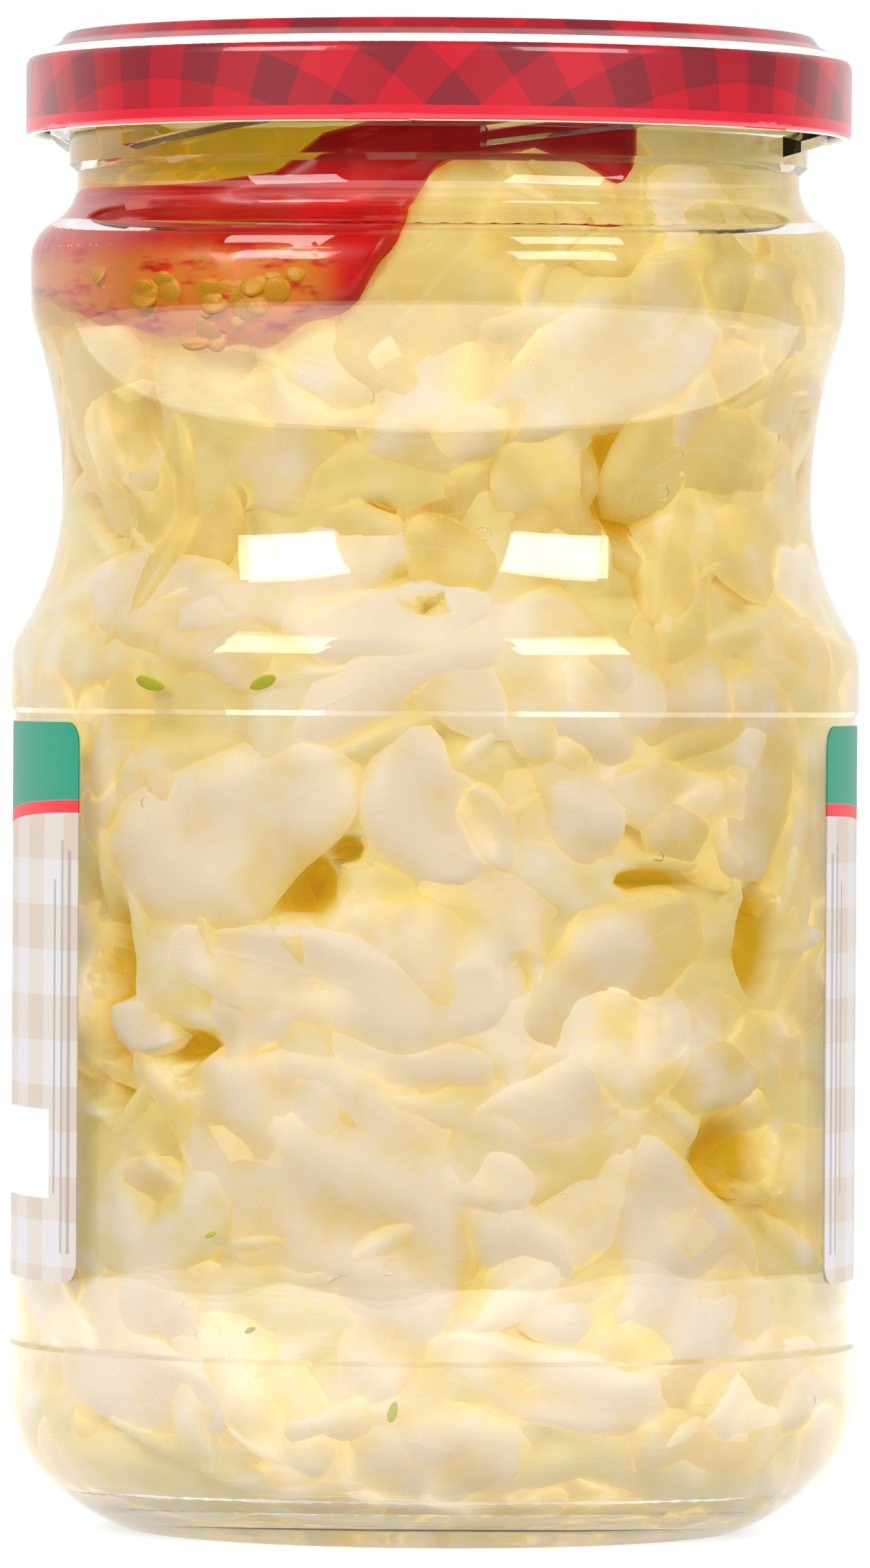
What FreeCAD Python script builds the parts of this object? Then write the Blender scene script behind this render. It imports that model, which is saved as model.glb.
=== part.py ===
"""A filled pickle jar: waisted clear glass, pressed twist-off lid, wrap-round label, cabbage, pepper.

Millimetres, +Z up. The origin is the middle of the bearing ring, on the surface that the jar stands on.
The wrap-round label is centred on +Y, so the gap between its two ends is centred on -Y.
"""
import FreeCAD, Part
import math
import os
import Sketcher

# Driving sizes: alias, value, meaning. Lengths in millimetres, angles in degrees.
DRIVING = (
    ("body_radius", 43.85, "widest ring of the glass, just above the label"),
    ("lower_band_inset", 0.13, "how much narrower the ring below the label is"),
    ("panel_depth", 0.4, "depth of the label panel below the widest ring"),
    ("panel_step", 0.5, "height of the slope at each end of the label panel"),
    ("foot_inset", 11.7, "from the lower ring in to the edge of the bearing ring"),
    ("foot_width", 1.5, "width of the bearing ring"),
    ("push_up", 2.2, "rise of the underside at its middle"),
    ("heel_height", 12.5, "top of the rounded heel"),
    ("heel_radius", 9.5, "upper arc of the heel"),
    ("heel_break", 2.8, "from the lower ring in to the joint of the heel's two arcs"),
    ("lower_band_height", 6.4, "straight ring below the label panel"),
    ("panel_height", 65.5, "label panel"),
    ("upper_band_height", 4.8, "straight ring above the label panel"),
    ("band_radius", 5.3, "rounding over the upper ring"),
    ("waist_depth", 5.15, "from the widest ring in to the waist"),
    ("waist_rise", 17.2, "from the upper ring to the waist"),
    ("bulge_rise", 20.2, "from the waist to the bulge"),
    ("bulge_depth", 1.75, "how much narrower the bulge is than the widest ring"),
    ("bulge_radius", 9.0, "rounding under the bulge"),
    ("bulge_height", 4.0, "straight part of the bulge"),
    ("shoulder_radius", 4.4, "rounding over the bulge"),
    ("neck_depth", 0.85, "from the neck wall in to the narrowest ring of the neck"),
    ("neck_rise", 8.2, "from the bulge to the narrowest ring"),
    ("neck_height", 0.85, "straight part of the neck"),
    ("collar_slope", 0.7, "height of the slope under the collar"),
    ("finish_radius", 38.15, "neck wall under the threads"),
    ("finish_height", 13.05, "from the collar to the rim"),
    ("rim_radius", 0.9, "rounding of the rim"),
    ("wall", 2.7, "glass of the body"),
    ("finish_wall", 2.95, "glass of the neck"),
    ("bore_rounding", 3.0, "inside rounding under the neck"),
    ("floor_height", 4.5, "inside floor above the surface that the jar stands on"),
    ("inner_heel_radius", 10.0, "inside rounding of the heel"),
    ("inner_shoulder_radius", 3.6, "inside rounding of the shoulder"),
    ("inner_shoulder_drop", 1.0, "inside shoulder below the outside one"),
    ("thread_count", 6, "thread starts, and lugs of the lid"),
    ("thread_start", 31.7, "turn of the first thread's low end"),
    ("thread_span", 57.0, "turn that one thread covers"),
    ("thread_low", 1.75, "low end of a thread above the collar"),
    ("thread_rise", 5.1, "climb of a thread"),
    ("thread_depth", 2.0, "how far a thread stands out"),
    ("thread_sink", 0.4, "how far a thread's root lies inside the wall"),
    ("thread_root", 2.3, "height of a thread at the glass"),
    ("thread_crest", 1.1, "height of a thread at its crest"),
    ("lid_gap", 4.0, "from the neck wall to the inside of the lid's skirt"),
    ("lid_sheet", 0.5, "sheet of the lid with its lacquers"),
    ("lid_height", 10.55, "lid from its top to the bottom of its curl"),
    ("lid_ring_inset", 4.1, "from the lid's edge in to its raised ring"),
    ("lid_ring_slope", 0.8, "width of the slope outside the raised ring"),
    ("lid_ring_rise", 1.05, "raised ring above the foot of that slope"),
    ("lid_ring_width", 4.6, "width of the raised ring"),
    ("lid_shoulder_drop", 1.6, "fall of the lid's slanted shoulder"),
    ("lid_shoulder_radius", 1.4, "rounding of the lid's edge"),
    ("lid_crease_radius", 0.4, "rounding of the pressed creases"),
    ("lid_panel_drop", 0.9, "middle panel below the raised ring"),
    ("lid_panel_slope", 0.9, "width of the slope inside the raised ring"),
    ("button_radius", 10.5, "safety button in the middle of the lid"),
    ("button_slope", 1.4, "width of the button's edge"),
    ("button_rise", 0.45, "height of the button"),
    ("curl_radius", 0.75, "rolled edge of the lid"),
    ("lug_angle", 9.0, "turn that one lug covers"),
    ("lug_place", 0.78, "place of a lug along its thread, from 0 at the low end to 1 at the high end"),
    ("lug_height", 1.0, "height of a lug"),
    ("lug_clearance", 0.1, "play between a lug and its thread"),
    ("lug_gap", 0.7, "play between a lug and the neck wall"),
    ("label_low", 7.1, "lower edge of the label above the panel's lower edge"),
    ("label_top", 1.4, "upper edge of the label below the panel's upper edge"),
    ("label_span", 237.4, "turn that the label covers"),
    ("label_sheet", 0.15, "paper and glue"),
    ("label_corner", 2.2, "rounding of the label's corners"),
    ("fill_gap", 8.6, "empty space from the rim down to the brine"),
    ("contents_clearance", 0.1, "play between the contents and the glass"),
    ("pepper_start", 164.7, "turn of the pepper's left end"),
    ("pepper_span", 138.0, "turn that the pepper covers"),
    ("pepper_height", 21.0, "height of the pepper"),
    ("pepper_cover", 0.9, "brine over the pepper"),
    ("pepper_depth", 8.5, "from the mouth's radius in to the back of the pepper"),
    ("pepper_rounding", 5.0, "rounding of the pepper's ends"),
)

# Sizes that the sheet works out: alias and formula.
DERIVED = [
    ("lower_band_r", "body_radius - lower_band_inset"),
    ("panel_r", "body_radius - panel_depth"),
    ("waist_r", "body_radius - waist_depth"),
    ("bulge_r", "body_radius - bulge_depth"),
    ("foot_r", "lower_band_r - foot_inset"),
    ("neck_radius", "finish_radius - neck_depth"),
    ("bore_radius", "finish_radius - finish_wall"),
    ("foot_inner_r", "foot_r - foot_width"),
    ("heel_joint_r", "lower_band_r - heel_break"),
    ("lower_band_z", "heel_height + lower_band_height"),
    ("panel_low_z", "lower_band_z + panel_step"),
    ("panel_top_z", "lower_band_z + panel_height"),
    ("panel_high_z", "panel_top_z - panel_step"),
    ("band_z", "panel_top_z + upper_band_height"),
    ("waist_z", "band_z + waist_rise"),
    ("bulge_z", "waist_z + bulge_rise"),
    ("shoulder_z", "bulge_z + bulge_height"),
    ("inner_shoulder_z", "shoulder_z - inner_shoulder_drop"),
    ("neck_z", "shoulder_z + neck_rise"),
    ("neck_top_z", "neck_z + neck_height"),
    ("collar_z", "neck_top_z + collar_slope"),
    ("rim_z", "collar_z + finish_height"),
    ("thread_foot_r", "finish_radius - thread_sink"),
    ("thread_crest_r", "finish_radius + thread_depth"),
    ("thread_z", "collar_z + thread_low"),
    ("thread_root_low_z", "thread_z - thread_root / 2"),
    ("thread_root_high_z", "thread_z + thread_root / 2"),
    ("thread_crest_low_z", "thread_z - thread_crest / 2"),
    ("thread_crest_high_z", "thread_z + thread_crest / 2"),
    ("thread_pitch", "thread_rise * 360 / thread_span"),
    ("thread_step", "360 / thread_count"),
    ("lid_inner_r", "finish_radius + lid_gap"),
    ("lid_r", "lid_inner_r + lid_sheet"),
    ("lid_z", "rim_z + lid_sheet"),
    ("lid_ring_r", "lid_r - lid_ring_inset"),
    ("lid_slope_r", "lid_ring_r + lid_ring_slope"),
    ("lid_slope_z", "lid_z - lid_ring_rise"),
    ("lid_slope_under_z", "lid_slope_z - lid_sheet"),
    ("lid_shoulder_z", "lid_slope_z - lid_shoulder_drop"),
    ("lid_shoulder_under_z",
     "lid_shoulder_z - lid_sheet * (1 - lid_shoulder_drop / (lid_ring_inset - lid_ring_slope))"),
    ("lid_ring_inner_r", "lid_ring_r - lid_ring_width"),
    ("lid_panel_r", "lid_ring_inner_r - lid_panel_slope"),
    ("lid_panel_z", "lid_z - lid_panel_drop"),
    ("lid_panel_under_z", "lid_panel_z - lid_sheet"),
    ("button_foot_r", "button_radius + button_slope"),
    ("button_z", "lid_panel_z + button_rise"),
    ("button_under_z", "button_z - lid_sheet"),
    ("curl_z", "lid_z - lid_height + curl_radius"),
    ("lug_r", "finish_radius + lug_gap"),
    ("lug_root_r", "lid_inner_r + lid_sheet / 2"),
    ("lug_top_z",
     "thread_root_low_z + thread_rise * (lug_place - lug_angle / thread_span / 2) - lug_clearance"),
    ("lug_low_z", "lug_top_z - lug_height"),
    ("lug_turn", "thread_start + thread_span * lug_place - lug_angle / 2"),
    ("label_outer_r", "panel_r + label_sheet"),
    ("label_low_z", "lower_band_z + label_low"),
    ("label_high_z", "panel_top_z - label_top"),
    ("label_turn", "90 - label_span / 2"),
    ("pepper_high_z", "rim_z - fill_gap - pepper_cover"),
    ("pepper_low_z", "pepper_high_z - pepper_height"),
    ("pepper_back_r", "bore_radius - pepper_depth"),
]
# The cavity of the glass and what fills it have the same outline, the second a little inside the first.
for space, play, top in (("cavity", "0", "rim_z"), ("contents", "contents_clearance", "rim_z - fill_gap")):
    DERIVED += [
        (space + "_floor_z", "floor_height + " + play),
        (space + "_heel_radius", "inner_heel_radius - " + play),
        (space + "_r", "panel_r - wall - " + play),
        (space + "_band_radius", "band_radius - " + play),
        (space + "_waist_r", "waist_r - wall - " + play),
        (space + "_bulge_radius", "bulge_radius - " + play),
        (space + "_bulge_r", "bulge_r - wall - " + play),
        (space + "_shoulder_radius", "inner_shoulder_radius - " + play),
        (space + "_bore_rounding", "bore_rounding + " + play),
        (space + "_bore_r", "bore_radius - " + play),
        (space + "_top_z", top),
    ]

TOLERANCE = 1e-4  # two sizes nearer than this, in millimetres, are the same

document = FreeCAD.newDocument("FilledJar")
sheet = document.addObject("Spreadsheet::Sheet", "Sizes")


def fill_sheet():
    """Writes the driving sizes and the worked-out sizes into the sheet, each with its alias."""
    for row, (alias, value, meaning) in enumerate(DRIVING, start=1):
        sheet.set(f"A{row}", alias)
        sheet.set(f"B{row}", str(value))
        sheet.set(f"C{row}", meaning)
        sheet.setAlias(f"B{row}", alias)
    for row, (alias, formula) in enumerate(DERIVED, start=len(DRIVING) + 2):
        sheet.set(f"A{row}", alias)
        sheet.setAlias(f"B{row}", alias)
        sheet.set(f"B{row}", "=" + formula)
    document.recompute()


def size(alias):
    """The number that the sheet holds for an alias."""
    return float(sheet.get(alias))


def value(size_or_number):
    """The number that a tied size or a plain starting value stands for."""
    return size(size_or_number) if isinstance(size_or_number, str) else size_or_number


class Outline:
    """Half a section in a sketch on the XZ plane, drawn end to end.

    A coordinate given as an alias is tied to the sheet. A plain number is only where the drawing starts,
    and the sketch's tangencies settle it. A line with one coordinate left out is upright or level.
    """
    AXIS, GROUND, CORNER = -2, -1, (-1, 1)

    def __init__(self, body, name):
        self.sketch = body.newObject("Sketcher::SketchObject", name)
        plane = next(part for part in body.Origin.OriginFeatures if part.Role == "XZ_Plane")
        self.sketch.AttachmentSupport = [(plane, "")]
        self.sketch.MapMode = "FlatFace"
        self.first = None
        self.last = None
        self.here = (0.0, 0.0)

    def constrain(self, kind, *places):
        """Adds a constraint; the last of places may be an alias, which then drives it."""
        alias = places[-1] if isinstance(places[-1], str) else None
        if alias:
            places = places[:-1] + (size(alias),)
        number = self.sketch.addConstraint(Sketcher.Constraint(kind, *places))
        if alias:
            self.sketch.setExpression(f"Constraints[{number}]", "Sizes." + alias)

    def tie(self, vertex, x, z):
        """Ties a vertex to the sizes that its coordinates are given as."""
        if x == "axis":
            self.constrain("PointOnObject", *vertex, self.AXIS)
        elif isinstance(x, str):
            self.constrain("DistanceX", *self.CORNER, *vertex, x)
        if z == "ground":
            self.constrain("PointOnObject", *vertex, self.GROUND)
        elif isinstance(z, str):
            self.constrain("DistanceY", *self.CORNER, *vertex, z)

    def begin(self, x, z):
        """Sets where the outline starts."""
        self.begin_at = (x, z)
        self.here = self.spot(x, z)

    def spot(self, x, z):
        """The coordinates, as numbers, of a vertex; one left out is that of the vertex before."""
        found = []
        for given, before in zip((x, z), self.here):
            if given is None:
                found.append(before)
            else:
                found.append(0.0 if given in ("axis", "ground") else value(given))
        return tuple(found)

    def join(self, geometry, start, smooth):
        """Joins a new line or arc to the one before, at a corner or smoothly."""
        if self.last is None:
            self.first = (geometry, start)
            self.tie(self.first, *self.begin_at)
        else:
            self.constrain("Tangent" if smooth else "Coincident", *self.last, geometry, start)

    def line(self, x=None, z=None, smooth=False):
        end = self.spot(x, z)
        geometry = self.sketch.addGeometry(
            Part.LineSegment(FreeCAD.Vector(*self.here, 0), FreeCAD.Vector(*end, 0)))
        self.join(geometry, 1, smooth)
        if x is None:
            self.constrain("Vertical", geometry)
        if z is None:
            self.constrain("Horizontal", geometry)
        self.tie((geometry, 2), x, z)
        self.last, self.here = (geometry, 2), end

    def arc(self, x, z, centre, turn, radius=None, smooth=True, level=False, on_axis=False):
        """Draws an arc; turn is 1 counter-clockwise or -1 clockwise.

        level puts the centre level with the end, and on_axis puts it on the axis.
        """
        end = self.spot(x, z)
        angles = [math.atan2(point[1] - centre[1], point[0] - centre[0]) for point in (self.here, end)]
        first, last = angles[::turn]
        if last <= first:
            last += 2 * math.pi
        circle = Part.Circle(FreeCAD.Vector(*centre, 0), FreeCAD.Vector(0, 0, 1), math.dist(centre, end))
        geometry = self.sketch.addGeometry(Part.ArcOfCircle(circle, first, last))
        start, finish = (1, 2)[::turn]
        self.join(geometry, start, smooth)
        if radius:
            self.constrain("Radius", geometry, radius)
        if level:
            self.constrain("Horizontal", geometry, 3, geometry, finish)
        if on_axis:
            self.constrain("PointOnObject", geometry, 3, self.AXIS)
        self.tie((geometry, finish), x, z)
        self.last, self.here = (geometry, finish), end

    def close(self):
        """Closes the outline with a straight line to its start."""
        geometry = self.sketch.addGeometry(
            Part.LineSegment(FreeCAD.Vector(*self.here, 0), FreeCAD.Vector(*self.spot(*self.begin_at), 0)))
        self.constrain("Coincident", *self.last, geometry, 1)
        self.constrain("Coincident", geometry, 2, *self.first)


def between(centre, radius, other):
    """The point of a circle on the way from its centre to another centre."""
    share = radius / math.dist(centre, other)
    return tuple(near + share * (far - near) for near, far in zip(centre, other))


def hollow_radius(x, z, centre, radius):
    """Radius of the arc that is upright at (x, z), curves the other way and touches a circle."""
    across = x - centre[0]
    return (across ** 2 + (z - centre[1]) ** 2 - radius ** 2) / (2 * (radius - across))


def bump_to_hollow(outline, bump_radius, x, z, level=False):
    """Carries an upright outline over a rounding and into the hollow that is upright at (x, z)."""
    rounding = size(bump_radius)
    bump = (outline.here[0] - rounding, outline.here[1])
    hollow = (size(x) + hollow_radius(size(x), size(z), bump, rounding), size(z))
    outline.arc(*between(bump, rounding, hollow), centre=bump, turn=1, radius=bump_radius)
    outline.arc(x, z, centre=hollow, turn=-1, level=level)


def hollow_to_bump(outline, bump_radius, x, z):
    """Carries an upright hollow outwards and over the rounding that is upright at (x, z)."""
    rounding = size(bump_radius)
    bump = (size(x) - rounding, size(z))
    hollow = (outline.here[0] + hollow_radius(*outline.here, bump, rounding), outline.here[1])
    outline.arc(*between(bump, rounding, hollow), centre=hollow, turn=-1)
    outline.arc(x, z, centre=bump, turn=1, radius=bump_radius)


def draw_underside(outline):
    """The shallow dome under the jar, the bearing ring and the two arcs of the heel."""
    outline.begin("axis", "push_up")
    ring, rise = size("foot_inner_r"), size("push_up")
    dome = (ring ** 2 + rise ** 2) / (2 * rise)
    outline.arc("foot_inner_r", "ground", centre=(0, rise - dome), turn=-1, smooth=False, on_axis=True)
    outline.line(x="foot_r")
    upper = (size("lower_band_r") - size("heel_radius"), size("heel_height"))
    across = size("heel_joint_r") - upper[0]
    joint = (size("heel_joint_r"), upper[1] - math.sqrt(size("heel_radius") ** 2 - across ** 2))
    outward = [(end - start) / size("heel_radius") for start, end in zip(upper, joint)]
    chord = [end - start for start, end in zip(outline.here, joint)]
    lower_radius = math.hypot(*chord) ** 2 / (2 * (outward[0] * chord[0] + outward[1] * chord[1]))
    lower = tuple(place - lower_radius * way for place, way in zip(joint, outward))
    outline.arc("heel_joint_r", joint[1], centre=lower, turn=1, smooth=False)
    outline.arc("lower_band_r", "heel_height", centre=upper, turn=1, radius="heel_radius")


def make_jar():
    body = document.addObject("PartDesign::Body", "jar")
    outside = Outline(body, "GlassOutside")
    draw_underside(outside)
    outside.line(z="lower_band_z", smooth=True)
    outside.line("panel_r", "panel_low_z")
    outside.line(z="panel_high_z")
    outside.line("body_radius", "panel_top_z")
    outside.line(z="band_z")
    bump_to_hollow(outside, "band_radius", "waist_r", "waist_z", level=True)
    hollow_to_bump(outside, "bulge_radius", "bulge_r", "bulge_z")
    outside.line(z="shoulder_z", smooth=True)
    bump_to_hollow(outside, "shoulder_radius", "neck_radius", "neck_z")
    outside.line(z="neck_top_z", smooth=True)
    outside.line("finish_radius", "collar_z")
    outside.line(z="rim_z")
    outside.line(x="axis")
    outside.close()
    revolve(body, "Glass", outside.sketch)
    inside = Outline(body, "GlassInside")
    draw_cavity(inside, "cavity")
    groove = body.newObject("PartDesign::Groove", "Cavity")
    groove.Profile = inside.sketch
    groove.ReferenceAxis = (inside.sketch, ["V_Axis"])
    groove.Angle = 360
    document.recompute()
    round_rings(body, "Rim", "rim_radius", ("bore_radius", "rim_z"), ("finish_radius", "rim_z"))
    add_threads(body)
    turn_body(body, "thread_start")
    return body


def draw_cavity(outline, space):
    """The inside of the glass, or the contents, which follow it."""
    outline.begin("axis", space + "_floor_z")
    rounding, wall = size(space + "_heel_radius"), size(space + "_r")
    outline.line(x=wall - rounding)
    heel_z = outline.here[1] + rounding
    outline.arc(space + "_r", heel_z, centre=(wall - rounding, heel_z), turn=1, radius=space + "_heel_radius")
    outline.line(z="band_z", smooth=True)
    bump_to_hollow(outline, space + "_band_radius", space + "_waist_r", "waist_z", level=True)
    hollow_to_bump(outline, space + "_bulge_radius", space + "_bulge_r", "bulge_z")
    outline.line(z="inner_shoulder_z", smooth=True)
    shoulder, rounding = size(space + "_shoulder_radius"), size(space + "_bore_rounding")
    bump = (outline.here[0] - shoulder, outline.here[1])
    hollow_x = size(space + "_bore_r") + rounding
    hollow = (hollow_x, bump[1] + math.sqrt((shoulder + rounding) ** 2 - (hollow_x - bump[0]) ** 2))
    outline.arc(*between(bump, shoulder, hollow), centre=bump, turn=1, radius=space + "_shoulder_radius")
    outline.arc(space + "_bore_r", hollow[1], centre=hollow, turn=-1, radius=space + "_bore_rounding")
    outline.line(z=space + "_top_z", smooth=True)
    outline.line(x="axis")
    outline.close()


def add_threads(body):
    """Winds one thread up the neck and repeats it round the jar."""
    profile = Outline(body, "ThreadSection")
    profile.begin("thread_foot_r", "thread_root_low_z")
    profile.line("thread_crest_r", "thread_crest_low_z")
    profile.line(z="thread_crest_high_z")
    profile.line("thread_foot_r", "thread_root_high_z")
    profile.close()
    document.recompute()
    thread = body.newObject("PartDesign::AdditiveHelix", "Thread")
    thread.Profile = profile.sketch
    thread.ReferenceAxis = (profile.sketch, ["V_Axis"])
    thread.Mode = 0
    thread.setExpression("Pitch", "Sizes.thread_pitch")
    thread.setExpression("Height", "Sizes.thread_rise")
    document.recompute()
    repeat_round(body, "Threads", thread, profile.sketch)


def make_lid():
    body = document.addObject("PartDesign::Body", "lid")
    section = Outline(body, "LidSection")
    section.begin("axis", "button_z")
    section.line(x="button_radius")
    section.line("button_foot_r", "lid_panel_z")
    section.line(x="lid_panel_r")
    section.line("lid_ring_inner_r", "lid_z")
    section.line(x="lid_ring_r")
    section.line("lid_slope_r", "lid_slope_z")
    section.line("lid_r", "lid_shoulder_z")
    section.line(z="curl_z")
    curl, sheet_thickness = size("curl_radius"), size("lid_sheet")
    curl_end_z = size("curl_z") + math.sqrt(curl ** 2 - (curl - sheet_thickness) ** 2)
    section.arc("lid_inner_r", curl_end_z, centre=(size("lid_r") - curl, size("curl_z")), turn=-1,
                radius="curl_radius")
    section.line(z="lid_shoulder_under_z")
    section.line("lid_slope_r", "lid_slope_under_z")
    section.line("lid_ring_r", "rim_z")
    section.line(x="lid_ring_inner_r")
    section.line("lid_panel_r", "lid_panel_under_z")
    section.line(x="button_foot_r")
    section.line("button_radius", "button_under_z")
    section.line(x="axis")
    section.close()
    revolve(body, "Sheet", section.sketch)
    round_rings(body, "ShoulderRounding", "lid_shoulder_radius", ("lid_r", "lid_shoulder_z"))
    round_rings(body, "Creases", "lid_crease_radius", ("lid_ring_r", "lid_z"), ("lid_slope_r", "lid_slope_z"),
                ("lid_ring_inner_r", "lid_z"), ("lid_panel_r", "lid_panel_z"),
                ("button_radius", "button_z"), ("button_foot_r", "lid_panel_z"))
    lug = Outline(body, "LugSection")
    draw_box(lug, "lug_r", "lug_root_r", "lug_low_z", "lug_top_z")
    first = revolve(body, "Lug", lug.sketch, "lug_angle")
    repeat_round(body, "Lugs", first, lug.sketch)
    turn_body(body, "lug_turn")
    return body


def make_label():
    body = document.addObject("PartDesign::Body", "label")
    section = Outline(body, "LabelSection")
    draw_box(section, "panel_r", "label_outer_r", "label_low_z", "label_high_z")
    revolve(body, "Paper", section.sketch, "label_span")
    round_ends(body, "Corners", "label_corner", "panel_r", "label_outer_r")
    turn_body(body, "label_turn")
    return body


def make_filling():
    """The cabbage in its brine, and the strip of pepper that lies in it against the glass."""
    packing = document.addObject("PartDesign::Body", "packing")
    inside = Outline(packing, "ContentsOutline")
    draw_cavity(inside, "contents")
    revolve(packing, "Packing", inside.sketch)
    strip = document.addObject("PartDesign::Body", "strip")
    section = Outline(strip, "PepperSection")
    draw_box(section, "pepper_back_r", "body_radius", "pepper_low_z", "pepper_high_z")
    revolve(strip, "Strip", section.sketch, "pepper_span")
    round_ends(strip, "StripEnds", "pepper_rounding", "pepper_back_r", "body_radius")
    turn_body(strip, "pepper_start")
    contents = document.addObject("Part::Cut", "contents")
    contents.Base, contents.Tool = packing, strip
    pepper = document.addObject("Part::MultiCommon", "pepper")
    pepper.Shapes = [packing, strip]
    return contents, pepper


def draw_box(outline, inner, outer, low, high):
    """A plain rectangular section."""
    outline.begin(inner, low)
    outline.line(x=outer)
    outline.line(z=high)
    outline.line(x=inner)
    outline.close()


def revolve(body, name, sketch, angle=None):
    """Turns a section about the axis, all the way round or through an angle of the sheet."""
    feature = body.newObject("PartDesign::Revolution", name)
    feature.Profile = sketch
    feature.ReferenceAxis = (sketch, ["V_Axis"])
    feature.Angle = 360
    if angle:
        feature.setExpression("Angle", "Sizes." + angle)
    document.recompute()
    return feature


def repeat_round(body, name, feature, sketch):
    """Repeats a feature evenly round the axis, once for each thread start."""
    pattern = body.newObject("PartDesign::PolarPattern", name)
    pattern.Originals = [feature]
    pattern.Axis = (sketch, ["V_Axis"])
    pattern.Angle = 360
    pattern.setExpression("Occurrences", "Sizes.thread_count")
    body.Tip = pattern
    document.recompute()


def round_rings(body, name, radius, *rings):
    """Rounds the circular edges that lie at the given radii and heights."""
    shape = body.Tip.Shape
    edges = []
    for number, edge in enumerate(shape.Edges, start=1):
        if edge.Degenerated or not isinstance(edge.Curve, Part.Circle):
            continue
        for ring, height in rings:
            middle = edge.Curve.Center
            if (abs(edge.Curve.Radius - size(ring)) < TOLERANCE and abs(middle.z - size(height)) < TOLERANCE
                    and math.hypot(middle.x, middle.y) < TOLERANCE):
                edges.append(f"Edge{number}")
    add_fillet(body, name, radius, edges, len(rings))


def round_ends(body, name, radius, inner, outer):
    """Rounds the corners at both ends of a curved plate, seen square on."""
    shape = body.Tip.Shape
    length = size(outer) - size(inner)
    edges = [f"Edge{number}" for number, edge in enumerate(shape.Edges, start=1)
             if not edge.Degenerated and isinstance(edge.Curve, Part.Line)
             and abs(edge.Length - length) < TOLERANCE
             and abs(edge.Vertexes[0].Z - edge.Vertexes[-1].Z) < TOLERANCE]
    add_fillet(body, name, radius, edges, 4)


def add_fillet(body, name, radius, edges, wanted):
    if len(edges) != wanted:
        raise RuntimeError(f"{name}: {len(edges)} edges found for {wanted} roundings")
    rounded = body.Tip
    fillet = body.newObject("PartDesign::Fillet", name)
    fillet.Base = (rounded, edges)
    fillet.setExpression("Radius", "Sizes." + radius)
    body.Tip = fillet
    document.recompute()


def turn_body(body, angle):
    """Turns a whole sub-part about the jar's axis."""
    turn = FreeCAD.Rotation(FreeCAD.Vector(0, 0, 1), size(angle))
    body.Placement = FreeCAD.Placement(FreeCAD.Vector(), turn)
    body.setExpression("Placement.Rotation.Angle", "Sizes." + angle)


def check_document():
    """Stops if any object failed or any sketch has play left."""
    for item in document.Objects:
        if {"Invalid", "Error"} & set(item.State):
            raise RuntimeError(f"{item.Label} failed: {item.State}")
        if item.TypeId == "Sketcher::SketchObject" and not item.FullyConstrained:
            raise RuntimeError(f"{item.Label} is not fully constrained")


def write_parts(parts):
    """Checks each sub-part's shape and writes it to a STEP file named by its label."""
    for part in parts:
        if part.Shape.isNull() or not part.Shape.isValid() or len(part.Shape.Solids) != 1:
            raise RuntimeError(f"{part.Label} is not one valid solid")
    os.makedirs("parts", exist_ok=True)
    for part in parts:
        part.Shape.exportStep(f"parts/{part.Label}.step")
        print(f"{part.Label}: {part.Shape.Volume / 1000:.2f} cm3, {part.Shape.BoundBox}")


fill_sheet()
made = [make_jar(), make_lid(), make_label(), *make_filling()]
document.recompute()
check_document()
write_parts(made)
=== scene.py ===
"""A closed glass jar of pickled white cabbage in pale brine, with a slice of red pepper
on top, a checked twist-off lid and a wrap-round label that leaves the front bare."""
import math
import random

import bpy
import numpy as np
from mathutils import Matrix, Vector
from mathutils.bvhtree import BVHTree


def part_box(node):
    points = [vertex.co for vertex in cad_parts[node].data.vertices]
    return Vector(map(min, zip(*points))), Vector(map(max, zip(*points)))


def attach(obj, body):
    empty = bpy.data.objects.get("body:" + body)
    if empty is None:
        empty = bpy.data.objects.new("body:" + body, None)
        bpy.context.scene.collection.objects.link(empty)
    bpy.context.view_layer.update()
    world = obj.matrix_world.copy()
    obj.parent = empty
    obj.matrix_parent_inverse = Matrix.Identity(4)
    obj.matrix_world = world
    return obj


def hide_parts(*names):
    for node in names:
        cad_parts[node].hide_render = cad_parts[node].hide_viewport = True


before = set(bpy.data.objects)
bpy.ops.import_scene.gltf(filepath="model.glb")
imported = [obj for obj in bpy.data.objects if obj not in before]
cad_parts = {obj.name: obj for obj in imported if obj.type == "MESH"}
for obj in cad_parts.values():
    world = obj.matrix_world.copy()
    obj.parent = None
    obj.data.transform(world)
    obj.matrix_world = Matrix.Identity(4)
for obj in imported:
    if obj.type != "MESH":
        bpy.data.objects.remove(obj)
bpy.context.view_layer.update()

MM = 0.001
FRONT = math.radians(264.7)  # the turn round the jar that faces the viewer
CHART_RADIUS = 40.0  # turns the loose pieces' sideways lengths into angles, mm
PRESS = 0.25  # leaves that swell towards the glass are held back from here, mm
WAIST = 98.0  # height above which the filling looks yellower, mm
NEXT_ROUND, NEXT_UP = 0.61803, 0.75488  # shares of the chart from one piece to the next
LOWEST_RUN = 6.0  # where pieces begin, along the wall from the middle of the floor, mm


# ---------------------------------------------------------------- the inner wall

def tree_of(node):
    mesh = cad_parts[node].data
    return BVHTree.FromPolygons(
        [v.co for v in mesh.vertices], [list(p.vertices) for p in mesh.polygons]
    )


def side_radius(tree, height):
    """Radius in mm of a node's outside at a height in mm, behind the jar."""
    hit = tree.ray_cast(Vector((0.0, 0.1, height * MM)), Vector((0.0, -1.0, 0.0)))[0]
    return hit.y / MM


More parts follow.
